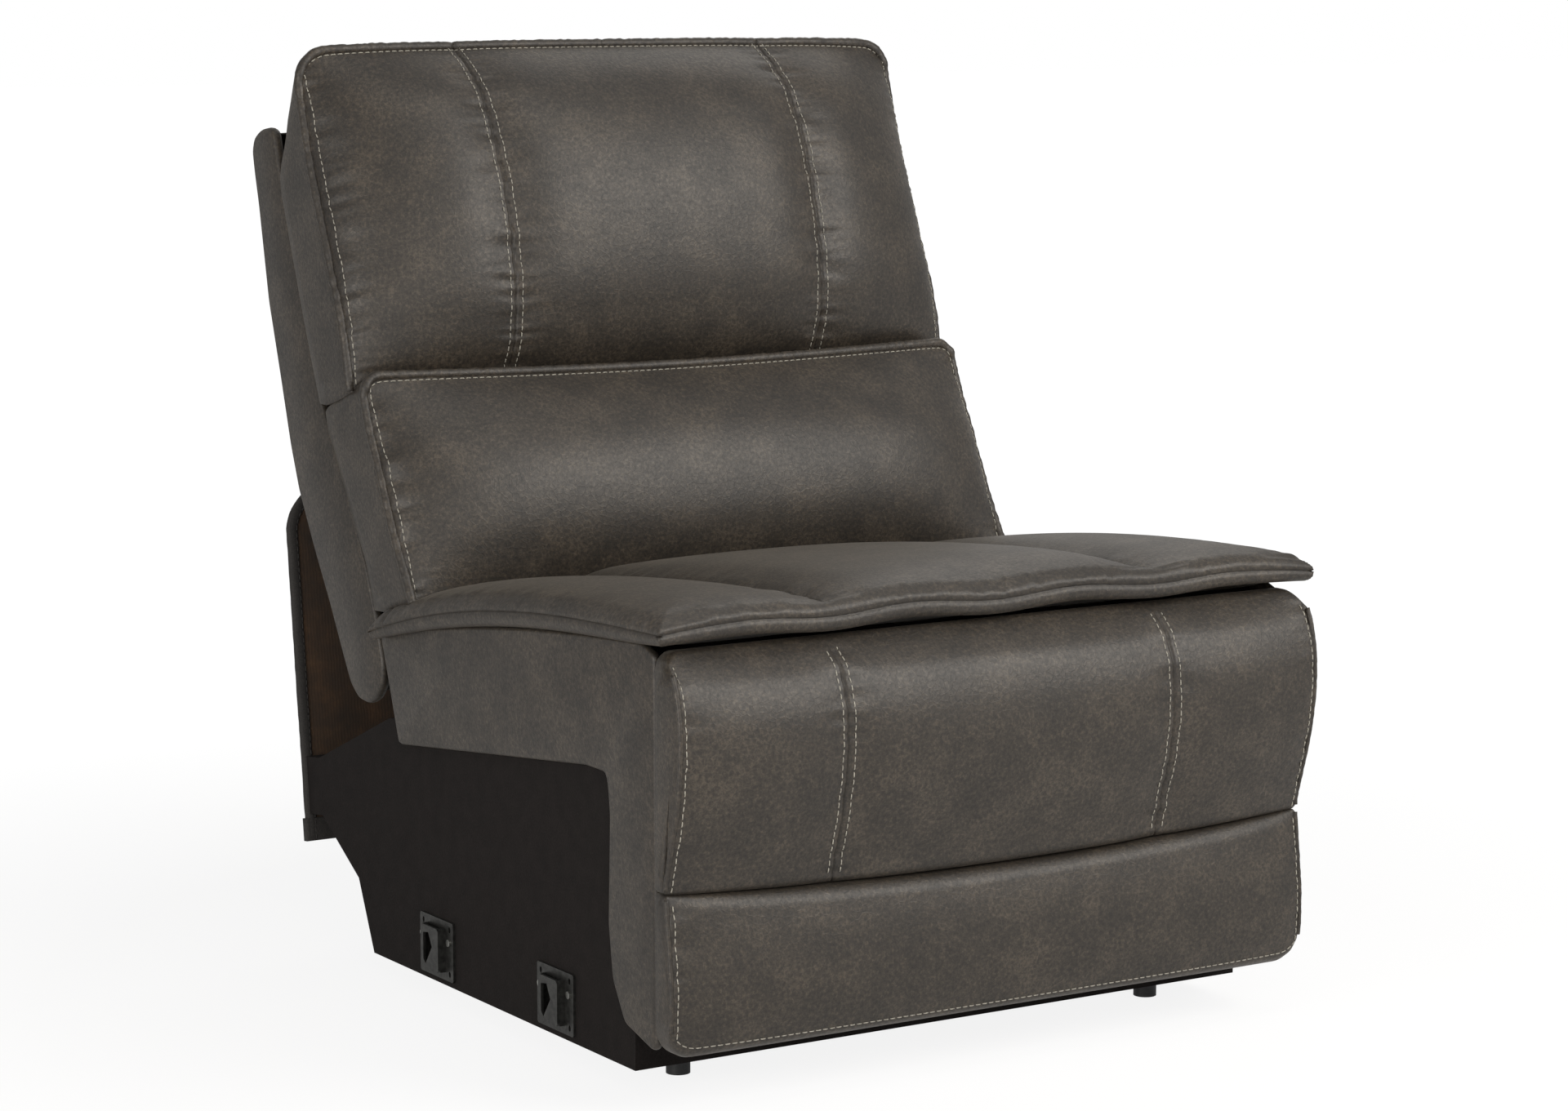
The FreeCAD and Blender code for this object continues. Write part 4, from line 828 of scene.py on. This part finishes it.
CHEEK = [back_point(*p) for p in (
    (-46, 39), (-44, 95), (-29.5, 191), (-7, 290), (-4, 386), (-4, 482), (-5, 556), (-9, 612), (0, 620),
    (22, 625), (42, 622), (53, 610), (57, 586), (61, 549), (79, 440), (83, 354), (88, 274), (87, 221),
    (75, 152), (60, 83), (50, 24), (43, -12), (30, -32), (8, -43), (-12, -42), (-32, -31), (-43, -10))]
REAR_SKIN = [back_point(*p) for p in (
    (44, 603), (26, 609), (6, 615), (22, 624), (42, 621), (53, 609), (58, 586), (62, 549), (80, 440),
    (84, 354), (89, 274), (88, 221), (76, 152), (61, 83), (51, 24), (44, -12), (33, -30), (27, -24), (34, -6),
    (42, 26), (52, 86), (67, 154), (79, 222), (80, 274), (75, 354), (71, 440), (52, 546), (47, 586))]
CHEEK_INNER, CHEEK_OUTER, SKIN_HALF = 375.4 * MM, 387 * MM, 386 * MM
shell = slab_piece("back_shell_cover", [(CHEEK, -CHEEK_OUTER, -CHEEK_INNER),
                                        (CHEEK, CHEEK_INNER, CHEEK_OUTER),
                                        (REAR_SKIN, -SKIN_HALF, SKIN_HALF)],
                   COVER_CLOTH, "back", 3.5 * MM)
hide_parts("back_shell")


# Rear flap
FLAP_HALF, FLAP_LENGTH, FLAP_CORNER = 380 * MM, 404.5 * MM, 55 * MM
FLAP_FRONT, FLAP_MIDDLE, FLAP_REAR = 0.3 * MM, 3 * MM, 5.7 * MM     # depths of the two cloth layers
BINDING_WIDE, BINDING_DEEP = 6.5 * MM, 4.6 * MM     # half width and half depth of the bound edge
HEM_HIGH = 25 * MM


def flap_layer(name, front, rear, finish, low=0.0, high=None, inset=0.0):
    """One cloth layer of the flap between two depths, with round top corners and a slight billow."""
    half = FLAP_HALF - inset
    corner = FLAP_CORNER - inset
    places = np.array(graded([-half, -half + corner, half - corner, half], [4 * MM, 16 * MM, 4 * MM]))
    rows = 24
    loops = []
    for x in places:
        roof = FLAP_LENGTH - inset - rounded_top(x, half, corner) if high is None else high
        up = np.linspace(low, roof, rows)
        edge = np.minimum(FLAP_HALF - abs(x), up) / (60 * MM)
        billow = [1.3 * MM * min(1, e) * noise.noise((x / 0.12, u / 0.09, 2.0)) for u, e in zip(up, edge)]
        sides = [np.stack([np.full(rows, x), up, depth + np.array(billow)], 1) for depth in (front, rear)]
        loops.append(on_flap(np.concatenate([sides[0], sides[1][::-1]])))
    points, faces = capped_loft(loops, 0.2 * MM, rings=2)
    return new_piece(name, points, faces, finish, "base")


def flap_edge(inset):
    """Places (x, up) along the flap's sides and top at an inset, with their directions outward."""
    half, top, corner = FLAP_HALF - inset, FLAP_LENGTH - inset, FLAP_CORNER - inset
    sides = [(-half, u, -1.0, 0.0) for u in np.linspace(0, top - corner, 40)]
    bends = [(-half + corner - corner * math.cos(a), top - corner + corner * math.sin(a),
              -math.cos(a), math.sin(a)) for a in np.linspace(0, math.pi / 2, 15)[1:-1]]
    crown = [(x, top, 0.0, 1.0) for x in np.linspace(-half + corner, 0, 36)]
    left = np.array(sides + bends + crown)
    return np.concatenate([left, (left * (-1, 1, -1, 1))[::-1][1:]])


def flap_binding():
    """Folded tape round the flap's edge: an oval strip with a stitch row on each face."""
    middle = (FLAP_FRONT + FLAP_REAR) / 2
    angles = np.linspace(0, 2 * math.pi, 14, endpoint=False)
    wide = BINDING_WIDE * np.cos(angles)
    deep = BINDING_DEEP * np.sign(np.sin(angles)) * np.abs(np.sin(angles)) ** 0.6
    loops = []
    for x, up, out_x, out_up in flap_edge(BINDING_WIDE):
        ripple = 0.5 * MM * noise.noise((x / 0.009, up / 0.009, 7.0))
        loops.append(np.stack([x + out_x * (wide + ripple), up + out_up * (wide + ripple), middle + deep], 1))
    points = on_flap(np.concatenate(loops))
    count = len(angles)
    faces = loft_faces(len(loops), count, True)
    faces += [tuple(range(count)), tuple(range(len(points) - count, len(points)))]
    new_piece("flap_binding", points, faces, HEM_TAPE, "base")
    sewn = flap_edge(1.6 * BINDING_WIDE)[:, :2]
    rows = []
    for depth, way in ((-BINDING_DEEP * 0.9, -1), (BINDING_DEEP * 0.9, 1)):
        path = on_flap(np.column_stack([sewn, np.full(len(sewn), middle + depth)]))
        facing = on_flap([(0, 0, way)])[0] - on_flap([(0, 0, 0)])[0]
        rows.append((path, np.tile(facing, (len(path), 1))))
    sew("flap_stitching", "base", rows, HEM_TAPE)


lining = flap_layer("flap_lining", FLAP_FRONT, FLAP_MIDDLE, LINING, inset=2 * MM)
outer = flap_layer("flap_outer_cloth", FLAP_MIDDLE, FLAP_REAR, COVER_CLOTH, inset=2 * MM)
flap_layer("flap_hem", -1.2 * MM, 7.2 * MM, HEM_TAPE, -1 * MM, HEM_HIGH, inset=-1.5 * MM)
flap_binding()
for layer in (lining, outer):
    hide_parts("rear_flap")


# Connectors
CONNECTOR_MIDDLES = (-196 * MM, 67 * MM)
CONNECTOR_LOW, CONNECTOR_HIGH, CONNECTOR_HALF = 32 * MM, 97 * MM, 38 * MM
PLATE_FACES = (-375.5 * MM, -378.5 * MM)        # X of the plate's two faces
HOOD_FACES = (-384.5 * MM, -387.5 * MM)         # X of the hood's front wall
HOOD_SIDES = (-378.4 * MM, -384.6 * MM)         # X over which the hood's other walls run
HOOD_HALF, HOOD_RISE, HOOD_WALL = 20, 24, 3     # half width, half height and wall of the hood, mm
# The catch's opening, mm from the hood's middle
MOUTH = [(14, 15), (2, 17), (-6, 2), (4, -12), (9, -19), (14, -14)]


def cut_plate(points, faces, outline, holes, near, far):
    """Adds a flat steel plate with holes: loops of Y and Z, between two X faces."""
    loops = [outline] + holes
    flat = [[Vector((0, y, z)) for y, z in loop] for loop in loops]
    start = len(points)
    count = sum(len(loop) for loop in loops)
    for x in (near, far):
        points += [(x, y, z) for loop in loops for y, z in loop]
    for a, b, c in tessellate_polygon(flat):
        faces += [(start + a, start + b, start + c),
                  (start + count + a, start + count + c, start + count + b)]
    first = start
    for loop in loops:
        size = len(loop)
        faces += [(first + k, first + (k + 1) % size, first + count + (k + 1) % size, first + count + k)
                  for k in range(size)]
        first += size


def around(y, z, wide, high, sides=12):
    """An oval loop."""
    return [(y + wide * math.cos(a), z + high * math.sin(a))
            for a in np.linspace(0, 2 * math.pi, sides, endpoint=False)]


def frame_of(y0, y1, z0, z1, cut):
    """A rectangle with cut corners."""
    return [(y0 + cut, z0), (y1 - cut, z0), (y1, z0 + cut), (y1, z1 - cut), (y1 - cut, z1), (y0 + cut, z1),
            (y0, z1 - cut), (y0, z0 + cut)]


def connector_plates():
    """Two pressed plates with slotted corner holes, each with a hood and a catch opening in its front."""
    points, faces = [], []
    z = (CONNECTOR_LOW + CONNECTOR_HIGH) / 2
    inner, floor = HOOD_HALF - HOOD_WALL, HOOD_RISE - HOOD_WALL
    walls = ((-HOOD_HALF, -inner, -HOOD_RISE, HOOD_RISE), (inner, HOOD_HALF, -HOOD_RISE, HOOD_RISE),
             (-inner, inner, -HOOD_RISE, -floor))
    for y in CONNECTOR_MIDDLES:
        holes = [around(y + a * (CONNECTOR_HALF - 8 * MM), z + b * 24.5 * MM, 2.2 * MM, 3.4 * MM)
                 for a in (-1, 1) for b in (-1, 1)]
        room = frame_of(y - inner * MM, y + inner * MM, z - floor * MM, z + floor * MM, 2 * MM)
        plate = frame_of(y - CONNECTOR_HALF, y + CONNECTOR_HALF, CONNECTOR_LOW, CONNECTOR_HIGH, 2 * MM)
        cut_plate(points, faces, plate, holes + [room], *PLATE_FACES)
        mouth = [(y + a * MM, z + b * MM) for a, b in MOUTH]
        hood = frame_of(y - HOOD_HALF * MM, y + HOOD_HALF * MM, z - HOOD_RISE * MM, z + HOOD_RISE * MM,
                        3 * MM)
        cut_plate(points, faces, hood, [mouth], *HOOD_FACES)
        for low_y, high_y, low_z, high_z in walls:
            wall = frame_of(y + low_y * MM, y + high_y * MM, z + low_z * MM, z + high_z * MM, 0.4 * MM)
            cut_plate(points, faces, wall, [], *HOOD_SIDES)
    piece = new_piece("connector_plates_left", points, faces, PRESSED_STEEL, "base")
    piece.data.shade_flat()
    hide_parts("connectors_left")


connector_plates()


# Studio
GLINT = 0.4     # how much of the white surroundings a glossy surface mirrors


def seen_white(owner):
    """Where the white surroundings show: to the camera, through glass and, by GLINT, in a gloss."""
    ray = add(owner, "ShaderNodeLightPath").outputs
    glint = add(owner, "ShaderNodeMath", {0: ray["Is Glossy Ray"], 1: GLINT}, operation="MULTIPLY").outputs[0]
    through = add(owner, "ShaderNodeMath", {0: ray["Is Transmission Ray"], 1: glint},
                  operation="MAXIMUM").outputs[0]
    return add(owner, "ShaderNodeMath", {0: ray["Is Camera Ray"], 1: through},
               operation="MAXIMUM").outputs[0]


def studio():
    """Pale floor, soft lamps and the camera at the photograph's angle."""
    floor_mesh = bpy.data.meshes.new("studio_floor")
    floor_mesh.from_pydata([(-30, -30, 0), (30, -30, 0), (30, 30, 0), (-30, 30, 0)], [], [(0, 1, 2, 3)])
    floor = bpy.data.objects.new("studio_floor", floor_mesh)
    scene.collection.objects.link(floor)
    paint = bpy.data.materials.new("white_floor_paint")
    paint.use_nodes = True
    paint.node_tree.nodes.clear()
    spot = add(paint, "ShaderNodeTexCoord").outputs["Object"]
    far = add(paint, "ShaderNodeVectorMath", {0: spot}, operation="LENGTH").outputs["Value"]
    bright = add(paint, "ShaderNodeMapRange", {"Value": far, "From Min": 0.8, "From Max": 2.0,
                                               "To Min": 0.84}).outputs["Result"]
    share = add(paint, "ShaderNodeMath", {0: seen_white(paint), 1: bright}, operation="MULTIPLY")
    matt = add(paint, "ShaderNodeBsdfDiffuse", {"Color": linear("#f4f4f4")})
    glow = add(paint, "ShaderNodeEmission", {"Color": (1, 1, 1, 1), "Strength": 1.04})
    mixed = add(paint, "ShaderNodeMixShader", {0: share.outputs[0], 1: matt.outputs[0], 2: glow.outputs[0]})
    add(paint, "ShaderNodeOutputMaterial", {"Surface": mixed.outputs[0]})
    floor_mesh.materials.append(paint)
    world = bpy.data.worlds.new("studio_world")
    world.use_nodes = True
    world.node_tree.nodes.clear()
    level = add(world, "ShaderNodeMapRange", {"Value": seen_white(world), "To Min": 0.18, "To Max": 1.0})
    sky = add(world, "ShaderNodeBackground", {"Color": (1, 1, 1, 1), "Strength": level.outputs["Result"]})
    add(world, "ShaderNodeOutputWorld", {"Surface": sky.outputs[0]})
    scene.world = world
    lamps = {"key_softbox": ((1.7, -2.9, 2.4), 2.4, 108), "front_softbox": ((-1.4, -3.4, 1.7), 1.5, 21),
             "left_softbox": ((-3.2, -1.3, 0.75), 1.8, 56), "top_softbox": ((0.2, -0.9, 3.4), 1.6, 16),
             "rear_softbox": ((2.2, 2.2, 3.1), 1.6, 12)}
    aim = Vector((0, 0, 0.5))
    for name, (spot, size, power) in lamps.items():
        light = bpy.data.lights.new(name, "AREA")
        light.shape, light.size, light.energy = "DISK", size, power
        light.color = linear("#fffbf5")[:3]
        lamp = bpy.data.objects.new(name, light)
        lamp.location = spot
        lamp.rotation_euler = (aim - Vector(spot)).to_track_quat("-Z", "Y").to_euler()
        scene.collection.objects.link(lamp)
    azimuth, height, distance = math.radians(-32.132), math.radians(8.295), 4.471
    target = Vector((0.0022, -0.0299, 0.4729))
    away = Vector((math.sin(azimuth) * math.cos(height), -math.cos(azimuth) * math.cos(height),
                   math.sin(height)))
    view = bpy.data.cameras.new("camera")
    view.sensor_width, view.lens = 36, 94.07
    camera = bpy.data.objects.new("camera", view)
    camera.location = target + away * distance
    camera.rotation_euler = (-away).to_track_quat("-Z", "Y").to_euler()
    scene.collection.objects.link(camera)
    scene.camera = camera


studio()
scene.view_settings.view_transform = "Standard"
